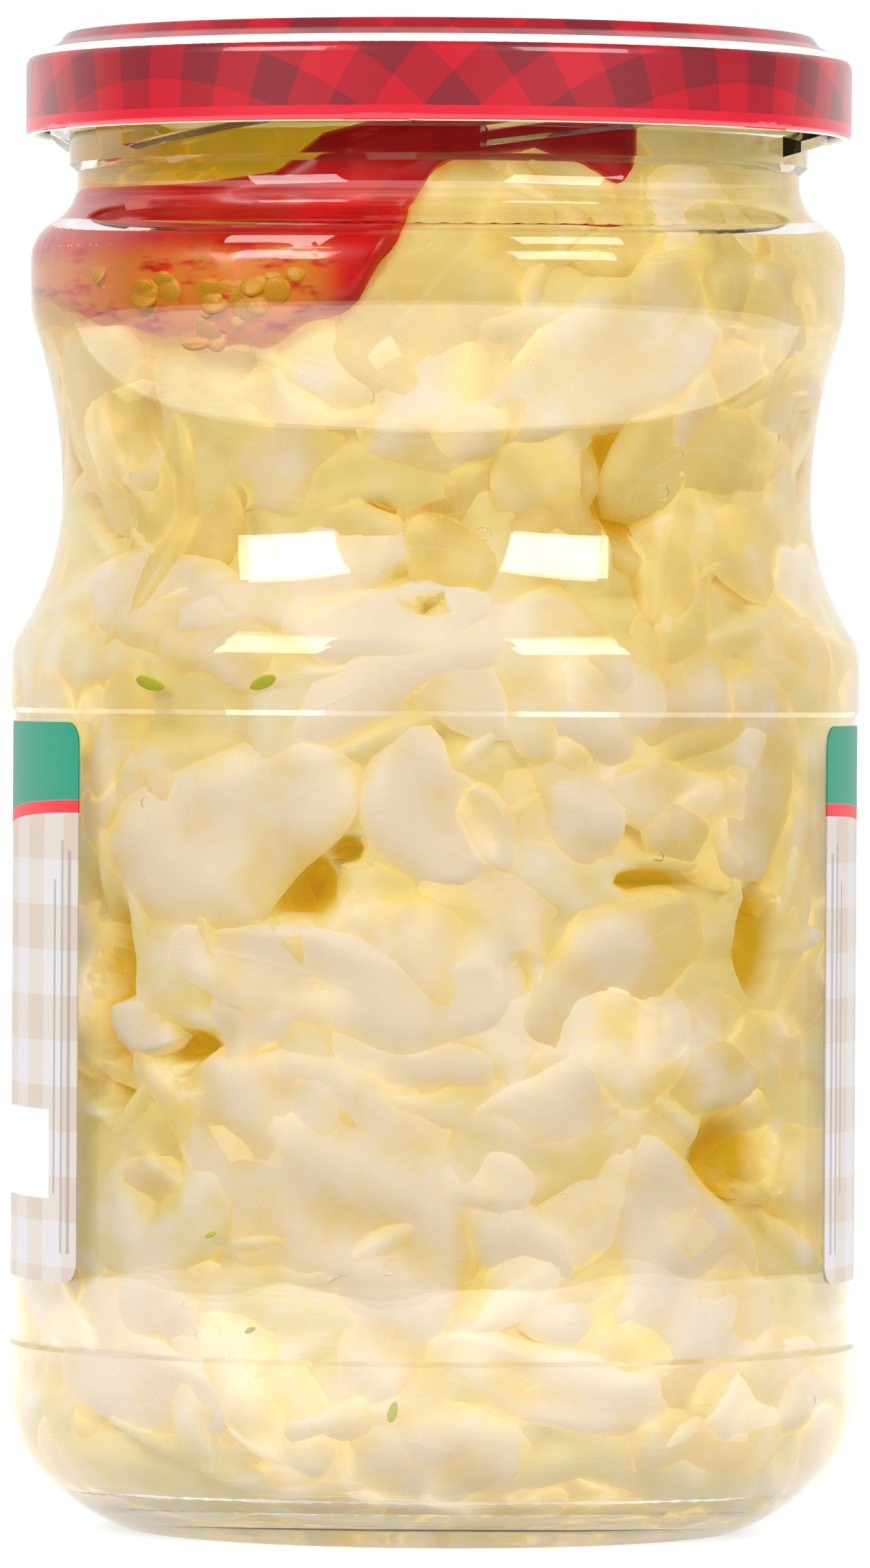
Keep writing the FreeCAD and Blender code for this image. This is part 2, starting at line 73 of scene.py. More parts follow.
def smoothed(values, reach):
    kernel = np.ones(2 * reach + 1) / (2 * reach + 1)
    return np.convolve(np.pad(values, reach, mode="edge"), kernel, mode="valid")


class Wall:
    """The line where the filling meets the glass, from the middle of the floor out and up.
    run is the length along it in mm, and depth is how far under it a point lies."""

    def __init__(self):
        tree = tree_of("contents")
        low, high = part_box("contents")
        edge = 0.93 * high.y / MM
        radii, heights = [], []
        for radius in np.linspace(0.05, edge, 60):
            start = Vector((0.0, radius * MM, -0.01))
            radii.append(radius)
            heights.append(tree.ray_cast(start, Vector((0.0, 0.0, 1.0)))[0].z / MM)
        for height in np.linspace(heights[-1] + 0.1, high.z / MM - 0.05, 420):
            radii.append(side_radius(tree, height))
            heights.append(height)
        self.r, self.z = np.array(radii), np.array(heights)
        self.run = np.concatenate(
            [[0.0], np.cumsum(np.hypot(np.diff(self.r), np.diff(self.z)))]
        )
        across, up = np.gradient(self.r, self.run), np.gradient(self.z, self.run)
        across, up = smoothed(across, 4), smoothed(up, 4)
        size = np.hypot(across, up)
        self.out_r, self.out_z = up / size, -across / size
        self.side = int(np.searchsorted(self.r, edge))
        self.top = high.z / MM
        self.floor = low.z / MM

    def run_at(self, height):
        return np.interp(height, self.z[self.side:], self.run[self.side:])

    def place(self, turn, run, depth):
        """Points in metres for arrays of turns in radians, runs and depths in mm."""
        r = np.interp(run, self.run, self.r) - depth * np.interp(run, self.run, self.out_r)
        z = np.interp(run, self.run, self.z) - depth * np.interp(run, self.run, self.out_z)
        r, z = np.maximum(r, 0.3), np.minimum(z, self.top - 0.3)
        return np.stack([r * np.cos(turn), r * np.sin(turn), z], axis=-1) * MM


wall = Wall()
glass_tree = tree_of("jar")
glass_heights = np.linspace(1.0, wall.top, 200)
glass_radii = np.array([side_radius(glass_tree, h) for h in glass_heights])


def front_to_wall(across, height):
    """Turn and run for points given in mm as they are seen from the front."""
    reach = np.interp(height, glass_heights, glass_radii)
    share = np.clip(across / reach, -0.985, 0.985)
    return FRONT + np.arcsin(share), wall.run_at(height)


# ---------------------------------------------------------------- meshes

def ring_faces(rows, columns):
    """Quads between neighbouring rows of a grid whose rows close round."""
    start = np.arange(rows - 1)[:, None] * columns
    here = np.arange(columns)[None, :]
    there = (here + 1) % columns
    quads = np.stack(
        [start + here, start + there, start + columns + there, start + columns + here],
        axis=-1,
    )
    return quads.reshape(-1, 4).tolist()


def add_object(name, vertices, faces, material, facts=()):
    mesh = bpy.data.meshes.new(name)
    mesh.from_pydata(np.asarray(vertices).reshape(-1, 3).tolist(), [], faces)
    mesh.polygons.foreach_set("use_smooth", [True] * len(mesh.polygons))
    for fact, values in dict(facts).items():
        layer = mesh.attributes.new(fact, "FLOAT", "POINT")
        layer.data.foreach_set("value", np.asarray(values, np.float32))
    mesh.materials.append(material)
    mesh.update()
    piece = bpy.data.objects.new(name, mesh)
    bpy.context.scene.collection.objects.link(piece)
    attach(piece, "root")
    return piece


def turned(name, profile, material, steps):
    """A solid of revolution from (radius, height) points in mm that start at the bottom of
    the axis and end at its top."""
    profile = np.asarray(profile, float)
    turns = np.linspace(0, 2 * math.pi, steps, endpoint=False)
    inner = profile[1:-1]
    rings = np.stack(
        [
            inner[:, :1] * np.cos(turns),
            inner[:, :1] * np.sin(turns),
            np.repeat(inner[:, 1:], steps, axis=1),
        ],
        axis=-1,
    ).reshape(-1, 3)
    ends = [[0.0, 0.0, profile[0, 1]], [0.0, 0.0, profile[-1, 1]]]
    faces = ring_faces(len(inner), steps)
    low, high, last = len(rings), len(rings) + 1, (len(inner) - 1) * steps
    faces += [[low, (k + 1) % steps, k] for k in range(steps)]
    faces += [[high, last + k, last + (k + 1) % steps] for k in range(steps)]
    return add_object(
        name, np.vstack([rings, ends]) * MM, faces, material
    )


class Heap:
    """Collects closed pieces of one kind into one object."""

    def __init__(self):
        self.vertices, self.faces, self.count = [], [], 0
        self.facts = {"depth": [], "across": [], "along": [], "tone": []}

    def add(self, outer, inner, depth, thick, across, along, tone):
        """A sheet between two grids of points, closed round its edge."""
        rows, columns = outer.shape[:2]
        index = np.arange(rows * columns).reshape(rows, columns) + self.count
        a, b, c, d = index[:-1, :-1], index[:-1, 1:], index[1:, 1:], index[1:, :-1]
        sheets = [np.stack([a, b, c, d], -1).reshape(-1, 4)]
        step = rows * columns
        sheets.append(np.stack([d, c, b, a], -1).reshape(-1, 4) + step)
        for line in (index[0, ::-1], index[-1, :], index[:, 0], index[::-1, -1]):
            under = line + step
            sheets.append(np.stack([line[:-1], line[1:], under[1:], under[:-1]], -1))
        self.faces += np.concatenate(sheets).tolist()
        self.vertices += [outer.reshape(-1, 3), inner.reshape(-1, 3)]
        self.facts["depth"] += [depth.ravel(), (depth + thick).ravel()]
        for fact, values in (("across", across), ("along", along)):
            self.facts[fact] += [values.ravel()] * 2
        self.facts["tone"].append(np.full(2 * step, tone))
        self.count += 2 * step

    def build(self, name, material, slot):
        facts = {fact: np.concatenate(parts) for fact, parts in self.facts.items()}
        return add_object(
            name, np.concatenate(self.vertices), self.faces, material, facts
        )


# ---------------------------------------------------------------- node benches

def paint(red, green, blue):
    """A colour given as it looks on a screen, 0 to 255, as the shader wants it."""
    linear = []
    for part in (red, green, blue):
        part /= 255
        linear.append(part / 12.92 if part <= 0.04045 else ((part + 0.055) / 1.055) ** 2.4)
    return (*linear, 1.0)


class Bench:
    """Adds nodes to one tree and joins them. A socket takes a number, a colour or the
    output of another node."""

    def __init__(self, tree):
        self.tree = tree

    def add(self, kind, sockets=(), **settings):
        node = self.tree.nodes.new(kind)
        for name, value in settings.items():
            setattr(node, name, value)
        for key, value in dict(sockets).items():
            self.feed(node.inputs[key], value)
        return node

    def feed(self, socket, value):
        if isinstance(value, bpy.types.NodeSocket):
            self.tree.links.new(value, socket)
        else:
            socket.default_value = value

    def math(self, operation, first, second=0.0, third=0.0):
        node = self.add("ShaderNodeMath", operation=operation)
        for socket, value in zip(node.inputs, (first, second, third)):
            self.feed(socket, value)
        return node.outputs[0]

    def mix(self, share, first, second):
        node = self.add("ShaderNodeMix", data_type="RGBA")
        for place, value in ((0, share), (6, first), (7, second)):
            self.feed(node.inputs[place], value)
        return node.outputs[2]

    def step(self, value, start, end, first=0.0, second=1.0):
        """Eases from first to second as value goes from start to end."""
        node = self.add("ShaderNodeMapRange", interpolation_type="SMOOTHSTEP")
        for place, part in enumerate((value, start, end, first, second)):
            self.feed(node.inputs[place], part)
        return node.outputs[0]

    def ramp(self, value, stops):
        node = self.add("ShaderNodeValToRGB", {"Fac": value})
        marks = node.color_ramp.elements
        while len(marks) < len(stops):
            marks.new(0.5)
        for mark, (place, colour) in zip(marks, stops):
            mark.position, mark.color = place, colour
        return node.outputs["Color"]

    def noise(self, vector, scale, detail=2.0, rough=0.5):
        node = self.add(
            "ShaderNodeTexNoise",
            {"Vector": vector, "Scale": scale, "Detail": detail, "Roughness": rough},
        )
        return node.outputs["Fac"]

    def fact(self, name):
        return self.add("ShaderNodeAttribute", attribute_name=name).outputs["Fac"]

    def place(self):
        """Position on the object as a vector and as its three parts, in metres."""
        vector = self.add("ShaderNodeTexCoord").outputs["Object"]
        parts = self.add("ShaderNodeSeparateXYZ", {"Vector": vector})
        return vector, *parts.outputs

    def vector(self, x, y, z):
        return self.add("ShaderNodeCombineXYZ", {"X": x, "Y": y, "Z": z}).outputs[0]

    def use(self, group, **sockets):
        node = self.add("ShaderNodeGroup", node_tree=group)
        for name, value in sockets.items():
            self.feed(node.inputs[name.replace("_", " ")], value)
        return node.outputs

    def bump(self, height, strength, distance):
        return self.add(
            "ShaderNodeBump",
            {"Height": height, "Strength": strength, "Distance": distance},
        ).outputs["Normal"]


def new_group(name, inputs, outputs):
    """A node group with named sockets: its tree, its bench, and what comes in and goes out."""
    group = bpy.data.node_groups.new(name, "ShaderNodeTree")
    kinds = {float: "NodeSocketFloat", tuple: "NodeSocketColor", Vector: "NodeSocketVector"}
    for title, value in inputs.items():
        socket = group.interface.new_socket(
            title, in_out="INPUT", socket_type=kinds[type(value)]
        )
        socket.default_value = value
    for title, kind in outputs.items():
        group.interface.new_socket(title, in_out="OUTPUT", socket_type=kinds[kind])
    bench = Bench(group)
    entry, leave = bench.add("NodeGroupInput"), bench.add("NodeGroupOutput")
    return group, bench, entry.outputs, leave.inputs


def new_material(name, sockets=(), clear=False):
    """A material with a Principled shader. A clear one lets light through to what is behind."""
    material = bpy.data.materials.new(name)
    material.use_nodes = True
    material.node_tree.nodes.clear()
    bench = Bench(material.node_tree)
    shader = bench.add("ShaderNodeBsdfPrincipled", sockets)
    surface = shader.outputs[0]
    if clear:
        light = bench.add("ShaderNodeLightPath")
        open_way = bench.add("ShaderNodeBsdfTransparent", {"Color": clear})
        both = bench.add("ShaderNodeMixShader")
        bench.feed(both.inputs[0], light.outputs["Is Shadow Ray"])
        bench.feed(both.inputs[1], surface)
        bench.feed(both.inputs[2], open_way.outputs[0])
        surface = both.outputs[0]
    bench.add("ShaderNodeOutputMaterial", {"Surface": surface})
    return material, bench, shader.inputs


# ---------------------------------------------------------------- shared effects

def make_checks():
    """Woven checks: 0 where no stripe runs, 0.5 under one stripe, 1 where two cross."""
    group, bench, entry, leave = new_group(
        "woven_checks",
        {"Across": 0.0, "Along": 0.0, "Square": 0.004},
        {"Weave": float},
    )
    period = bench.math("MULTIPLY", entry["Square"], 2.0)
    stripes = []
    for side in ("Across", "Along"):
        rest = bench.math("FLOORED_MODULO", entry[side], period)
        stripes.append(bench.math("GREATER_THAN", rest, entry["Square"]))
    both = bench.math("ADD", *stripes)
    bench.feed(leave["Weave"], bench.math("MULTIPLY", both, 0.5))
    return group


def make_brine_tint():
    """Painted depth shade: the deeper a surface lies under the glass, the more golden and darker
    its colour, in place of the light lost in the brine and the shade between the pieces.
    """
    group, bench, entry, leave = new_group(
        "brine_tint",
        {
            "Near": (1.0, 1.0, 1.0, 1.0),
            "Middle": (1.0, 1.0, 1.0, 1.0),
            "Deep": (1.0, 1.0, 1.0, 1.0),
            "Depth": 0.0,
            "Shift": 0.0,
        },
        {"Color": tuple},
    )
    depth = bench.math("ADD", entry["Depth"], entry["Shift"])
    upper = bench.mix(bench.step(depth, 0.3, 2.8), entry["Near"], entry["Middle"])
    colour = bench.mix(bench.step(depth, 2.6, 6.5), upper, entry["Deep"])
    bench.feed(leave["Color"], colour)
    return group


def make_flesh_grain():
    """Soft cloudiness and a fine grain for the pickled flesh."""
    group, bench, entry, leave = new_group(
        "flesh_grain",
        {"Vector": Vector(), "Size": 1.0},
        {"Cloud": float, "Grain": float},
    )
    coarse = bench.math("DIVIDE", 170.0, entry["Size"])
    fine = bench.math("DIVIDE", 1500.0, entry["Size"])
    bench.feed(leave["Cloud"], bench.noise(entry["Vector"], coarse, 3.0, 0.55))
    bench.feed(leave["Grain"], bench.noise(entry["Vector"], fine, 2.0))
    return group


checks, brine_tint, flesh_grain = make_checks(), make_brine_tint(), make_flesh_grain()


# ---------------------------------------------------------------- finishes

def make_glass(name, gloss):
    """Clear glass. The inner face, which the brine wets, gets hardly any gloss."""
    material, bench, sockets = new_material(
        name,
        {"Base Color": (1.0, 1.0, 0.995, 1.0), "Roughness": 0.0, "IOR": 1.5,
         "Transmission Weight": 1.0, "Specular IOR Level": gloss},
        clear=(0.98, 0.98, 0.98, 1.0),
    )
    vector, *_ = bench.place()
    waves = bench.noise(vector, 60.0, 1.0)
    bench.feed(sockets["Normal"], bench.bump(waves, 0.25, 0.0002))
    return material


def make_brine():
    return new_material(
        "pale_brine",
        {"Base Color": (1.0, 0.985, 0.93, 1.0), "Roughness": 0.0, "IOR": 1.34,
         "Transmission Weight": 1.0, "Specular IOR Level": 0.03},
        clear=(1.0, 0.99, 0.95, 1.0),
    )[0]


def make_bubble():
    """Air in brine: light bends the other way."""
    return new_material(
        "air_bubble",
        {"Base Color": (1.0, 1.0, 1.0, 1.0), "Roughness": 0.0, "IOR": 0.8,
         "Transmission Weight": 1.0},
        clear=(1.0, 1.0, 1.0, 1.0),
    )[0]


# Near is the leaf's own cream. Middle and Deep are painted depth shade, golden and darker, for
# what lies further under the glass.
CREAM = {
    "Near": paint(250, 238, 219),
    "Middle": paint(243, 220, 142),
    "Deep": paint(214, 170, 6),
}


def make_cabbage(name, veins, glow=0.38):
    """Pickled leaf: veins sets how clearly its ribs show; the third argument is a painted glow,
    an emission of the leaf's own colour in place of the light that passes through it.
    """
    material, bench, sockets = new_material(
        name,
        {"Roughness": 0.42, "IOR": 1.4, "Subsurface Weight": 0.7,
         "Subsurface Radius": (1.0, 0.85, 0.5), "Subsurface Scale": 0.006,
         "Specular IOR Level": 0.3, "Emission Strength": glow},
    )
    vector, *_ = bench.place()
    across, along = bench.fact("across"), bench.fact("along")
    cloud, grain = bench.use(flesh_grain, Vector=vector, Size=1.0)
    tone = bench.fact("tone")
    shift = bench.math("MULTIPLY_ADD", cloud, 4.4, -2.0)
    shift = bench.math("MULTIPLY_ADD", tone, 1.2, shift)
    # Painted depth shade: the colour goes from cream to gold and darker with the depth under the
    # glass, shifted by the cloudiness and the tone.
    colour = bench.use(
        brine_tint, Near=CREAM["Near"], Middle=CREAM["Middle"], Deep=CREAM["Deep"],
        Depth=bench.fact("depth"), Shift=shift,
    )[0]
    fan = bench.math("MULTIPLY_ADD", bench.math("ABSOLUTE", across), 0.9, along)
    ribs = bench.add(
        "ShaderNodeTexWave",
        {"Vector": bench.vector(fan, 0.0, 0.0), "Scale": 0.55, "Distortion": 1.2,
         "Detail": 1.0},
    ).outputs["Fac"]
    thin = bench.step(ribs, 0.9, 1.0)
    middle = bench.step(bench.math("ABSOLUTE", across), 0.07, 0.0)
    lines = bench.math("MAXIMUM", bench.math("MULTIPLY", thin, 0.6), middle)
    lines = bench.math("MULTIPLY", lines, veins)
    colour = bench.mix(bench.math("MULTIPLY", lines, 0.5), colour, paint(250, 242, 222))
    # Painted glow: the leaf emits its own colour, warmed a little, while its base colour is taken
    # a third of the way to a dark brown.
    bench.feed(sockets["Emission Color"], bench.mix(0.06, colour, paint(255, 208, 120)))
    bench.feed(sockets["Base Color"], bench.mix(0.34, colour, paint(60, 34, 0)))
    height = bench.math("MULTIPLY_ADD", grain, 0.05, bench.math("MULTIPLY", lines, 0.6))
    bench.feed(sockets["Normal"], bench.bump(height, 0.5, 0.0003))
    return material


def make_pepper():
    """Red flesh, mottled with orange at the lower left."""
    material, bench, sockets = new_material(
        "red_pepper",
        {"Roughness": 0.3, "Subsurface Weight": 0.15, "Subsurface Scale": 0.002,
         "Subsurface Radius": (1.0, 0.25, 0.1), "Emission Strength": 0.3},
    )
    vector, *_ = bench.place()
    cloud = bench.use(flesh_grain, Vector=vector, Size=1.3)[0]
    red = bench.mix(bench.step(cloud, 0.3, 0.7), paint(186, 0, 0), paint(224, 2, 0))
    stretched = bench.vector(
        bench.math("MULTIPLY", bench.fact("across"), 0.34),
        bench.math("MULTIPLY", bench.fact("along"), 0.75),
        0.0,
    )
    patch = bench.noise(stretched, 0.62, 3.0, 0.6)
    left = bench.step(bench.fact("across"), 3.0, -2.0)
    left = bench.math("MULTIPLY", left, bench.step(bench.fact("along"), 12.5, 9.0))
    orange = bench.math("MULTIPLY", bench.step(patch, 0.34, 0.5), left)
    colour = bench.mix(orange, red, paint(238, 130, 22))
    bench.feed(sockets["Base Color"], colour)
    # Painted glow: the flesh also emits its own colour.
    bench.feed(sockets["Emission Color"], colour)
    bench.feed(sockets["Normal"], bench.bump(cloud, 0.35, 0.0006))
    return material


def make_plain(name, colour, roughness, other=()):
    """A small piece's finish: one colour, clouded a little, with a fine grain."""
    material, bench, sockets = new_material(name, {"Roughness": roughness, **dict(other)})
    vector, *_ = bench.place()
    cloud, grain = bench.use(flesh_grain, Vector=vector, Size=0.5)
    dark = tuple(part * 0.8 for part in colour[:3]) + (1.0,)
    clouded = bench.mix(cloud, dark, colour)
    bench.feed(sockets["Base Color"], clouded)
    # Painted glow: the piece also emits its clouded colour, as strongly as the Emission Strength
    # passed in.
    bench.feed(sockets["Emission Color"], clouded)
    bench.feed(sockets["Normal"], bench.bump(grain, 0.3, 0.0002))
    return material


def make_lid_finish():
    """Lacquer in woven checks that run over the top and down the skirt, cream inside."""
    material, bench, sockets = new_material(
        "checked_lacquer",
        {"Roughness": 0.35, "Specular IOR Level": 0.4, "Coat Weight": 0.6,
         "Coat Roughness": 0.05},
    )
    vector, x, y, z = bench.place()
    flat = bench.vector(x, y, 0.0)
    radius = bench.add("ShaderNodeVectorMath", {0: flat}, operation="LENGTH").outputs["Value"]
    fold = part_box("lid")[1].z - 2.65 * MM
    down = bench.math("MAXIMUM", bench.math("SUBTRACT", fold, z), 0.0)
    grown = bench.math("DIVIDE", bench.math("ADD", radius, down), radius)
    sheet = []
    for turn in (FRONT - math.radians(43.1), FRONT + math.radians(46.9)):
        along = bench.math("MULTIPLY", x, math.cos(turn))
        along = bench.math("MULTIPLY_ADD", y, math.sin(turn), along)
        sheet.append(bench.math("MULTIPLY", along, grown))
    weave = bench.use(checks, Across=sheet[0], Along=sheet[1], Square=4.6 * MM)[0]
    colour = bench.ramp(
        weave,
        [(0.0, paint(162, 4, 26)), (0.5, paint(140, 12, 28)), (1.0, paint(112, 22, 32))],
    )
    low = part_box("lid")[0].z
    curl = bench.math("LESS_THAN", z, low + 1.55 * MM)
    colour = bench.mix(curl, colour, paint(182, 8, 34))
    inside = bench.math("LESS_THAN", radius, 42.3 * MM)
    inside = bench.math("MULTIPLY", inside, bench.math("LESS_THAN", z, low + 8.8 * MM))
    colour = bench.mix(inside, colour, paint(232, 222, 200))
    bench.feed(sockets["Base Color"], colour)
    peel = bench.noise(vector, 900.0, 1.0)
    bench.feed(sockets["Normal"], bench.bump(peel, 0.06, 0.0002))
    return material


def make_label_finish():
    """Coated paper: a teal band, a red line under it, and pale checks with a few bare fields."""
    material, bench, sockets = new_material(
        "coated_paper", {"Roughness": 0.42, "Specular IOR Level": 0.35}
    )
    vector, x, y, z = bench.place()
    low, high = (corner.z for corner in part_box("label"))
    radius = 43.6 * MM
    turn = bench.math("ARCTAN2", bench.math("MULTIPLY", x, -1.0), y)
    around = bench.math("MULTIPLY", turn, radius)
    away = bench.math("ABSOLUTE", around)
    half = math.radians(118.7) * radius
    from_edge = bench.math("SUBTRACT", half, away)
    below = bench.math("SUBTRACT", high, z)
    dip = bench.math("MULTIPLY", bench.math("MULTIPLY", from_edge, from_edge), 2.5)
    dip = bench.math("SMOOTH_MIN", dip, 13.0 * MM, 6.0 * MM)
    line = bench.math("ADD", dip, 7.9 * MM)
    weave = bench.use(checks, Across=around, Along=z, Square=4.6 * MM)[0]
    colour = bench.ramp(
        weave,
        [(0.0, paint(176, 172, 174)), (0.5, paint(173, 165, 158)), (1.0, paint(168, 154, 141))],
    )

    def within(value, start, end, soft=0.15 * MM):
        rise = bench.step(value, start - soft, start + soft)
        fall = bench.step(value, end - soft, end + soft, 1.0, 0.0)
        return bench.math("MULTIPLY", rise, fall)

    over = bench.math("SUBTRACT", below, line)
    # Plain bars stand for the columns of print, and a bare white panel for the code.
    for start, wide, foot, head in (
        (1.3, 0.7, 3.0, 44.0), (2.9, 0.5, 3.0, 45.0), (4.5, 0.5, 9.0, 41.0)
    ):
        bar = bench.math(
            "MULTIPLY",
            within(from_edge, start * MM, (start + wide) * MM, 0.08 * MM),
            within(z, low + foot * MM, low + head * MM),
        )
        colour = bench.mix(bench.math("MULTIPLY", bar, 0.55), colour, paint(110, 104, 104))
    on_left = bench.math("GREATER_THAN", around, 0.0)
    panel = bench.math(
        "MULTIPLY",
        within(from_edge, 6.0 * MM, 24.0 * MM),
        within(z, low + 8.5 * MM, low + 17.5 * MM),
    )
    colour = bench.mix(bench.math("MULTIPLY", panel, on_left), colour, paint(204, 204, 206))
    # The face of the label: an oval field in a green rim over the checks.
    oval_x = bench.math("DIVIDE", around, 34.0 * MM)
    oval_z = bench.math("DIVIDE", bench.math("SUBTRACT", z, low + 22.0 * MM), 17.0 * MM)
    oval = bench.math(
        "SQRT",
        bench.math(
            "ADD", bench.math("MULTIPLY", oval_x, oval_x), bench.math("MULTIPLY", oval_z, oval_z)
        ),
    )
    colour = bench.mix(bench.step(oval, 1.0, 0.985), colour, paint(22, 132, 106))
    colour = bench.mix(bench.step(oval, 0.93, 0.915), colour, paint(206, 203, 194))
    colour = bench.mix(within(over, 0.0, 1.3 * MM, 0.06 * MM), colour, paint(192, 22, 36))
    colour = bench.mix(bench.step(over, 0.06 * MM, -0.06 * MM), colour, paint(0, 120, 94))
    bench.feed(sockets["Base Color"], colour)
    fibres = bench.noise(vector, 2200.0, 3.0)
    bench.feed(sockets["Normal"], bench.bump(fibres, 0.08, 0.0001))
    return material


finishes = {
    "glass": make_glass("clear_glass", 0.5),
    "wetted": make_glass("wetted_glass", 0.04),
    "brine": make_brine(),
    # The third number for a cabbage finish is its painted glow; the seeds and flecks take theirs
    # from Emission Strength.
    "leaves": make_cabbage("cabbage_leaf", 0.3),
    "pieces": make_cabbage("cabbage_pieces", 0.12),
    "middle": make_cabbage("cabbage_middle", 0.1, 0.52),
    "pepper": make_pepper(),
    "seed": make_plain("pepper_seed", paint(246, 166, 10), 0.4, {"Emission Strength": 0.2}),
    "fleck": make_plain("herb_fleck", paint(206, 200, 60), 0.5, {"Emission Strength": 0.45}),
    "bubble": make_bubble(),
    "lid": make_lid_finish(),
    "label": make_label_finish(),
}
for node, names in (("jar", ("glass", "wetted")), ("lid", ("lid",)), ("label", ("label",))):
    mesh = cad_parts[node].data
    mesh.materials.clear()
    for finish in names:
        mesh.materials.append(finishes[finish])
    for polygon in mesh.polygons:
        polygon.material_index = 0
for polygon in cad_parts["jar"].data.polygons:
    x, y, z = polygon.center
    inner = np.interp(z / MM, wall.z[wall.side:], wall.r[wall.side:]) + 0.6
    over_floor = z > (wall.floor - 0.6) * MM
    if over_floor and z < wall.top * MM and math.hypot(x, y) < inner * MM:
        polygon.material_index = 1


# ---------------------------------------------------------------- brine

def fill_with_brine():
    """The brine reaches just into the glass, so no air shows between them."""
    into_glass = 0.16
    thinned = slice(1, None, 3)
    radii = (wall.r + into_glass * wall.out_r)[thinned]
    heights = (wall.z + into_glass * wall.out_z)[thinned]
    profile = [(0.0, wall.floor - into_glass), *zip(radii, heights)]
    rim = profile[-1][0]
    top = wall.top
    profile += [(rim, top), (rim - 0.4, top - 0.35), (rim - 1.2, top - 0.6),
                (rim - 3.0, top - 0.7), (0.0, top - 0.7)]
    brine = turned("brine", profile, finishes["brine"], 320)
    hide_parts("contents")


# ---------------------------------------------------------------- cabbage

GAPS = [  # places where the gaps open deeper, so the painted golden depth shade shows: across, height, half across, half height, mm
    (20.5, 108.0, 3.4, 5.0), (34.0, 111.0, 1.2, 2.8), (-7.0, 104.0, 2.2, 1.2),
    (-10.0, 70.5, 1.8, 1.2), (-15.5, 67.0, 4.5, 3.2), (23.5, 67.5, 3.2, 1.2),
    (9.5, 58.5, 1.2, 1.0), (23.0, 58.5, 2.5, 1.0), (-27.0, 50.5, 3.0, 1.5),
    (35.0, 61.5, 1.5, 4.5), (32.0, 39.5, 3.0, 4.0), (-25.5, 47.5, 1.5, 1.0),
    (-1.0, 27.0, 1.5, 1.0), (-2.0, 47.5, 2.5, 1.0), (3.5, 31.5, 2.5, 2.5),
    (10.0, 20.0, 3.0, 0.7), (-1.0, 95.0, 1.5, 1.0), (-34.0, 104.5, 1.5, 1.5),
    (-34.5, 56.0, 1.5, 8.0), (36.0, 73.0, 1.5, 6.0), (-26.0, 141.5, 15.0, 4.0),
    (-26.0, 131.5, 17.0, 9.0), (-10.0, 133.0, 6.0, 8.0),
]


def gap_depth(turn, height):
    """Extra depth in mm that opens the gaps between the pieces."""
    reach = np.interp(height, glass_heights, glass_radii)
    across = reach * np.sin(turn - FRONT)
    facing = np.cos(turn - FRONT) > 0
    extra = np.zeros_like(turn)
    for x, z, half_x, half_z in GAPS:
        far = ((across - x) / half_x) ** 2 + ((height - z) / half_z) ** 2
        extra = np.maximum(extra, 6.0 * np.exp(-(far ** 2) / 1.6))
    return extra * facing


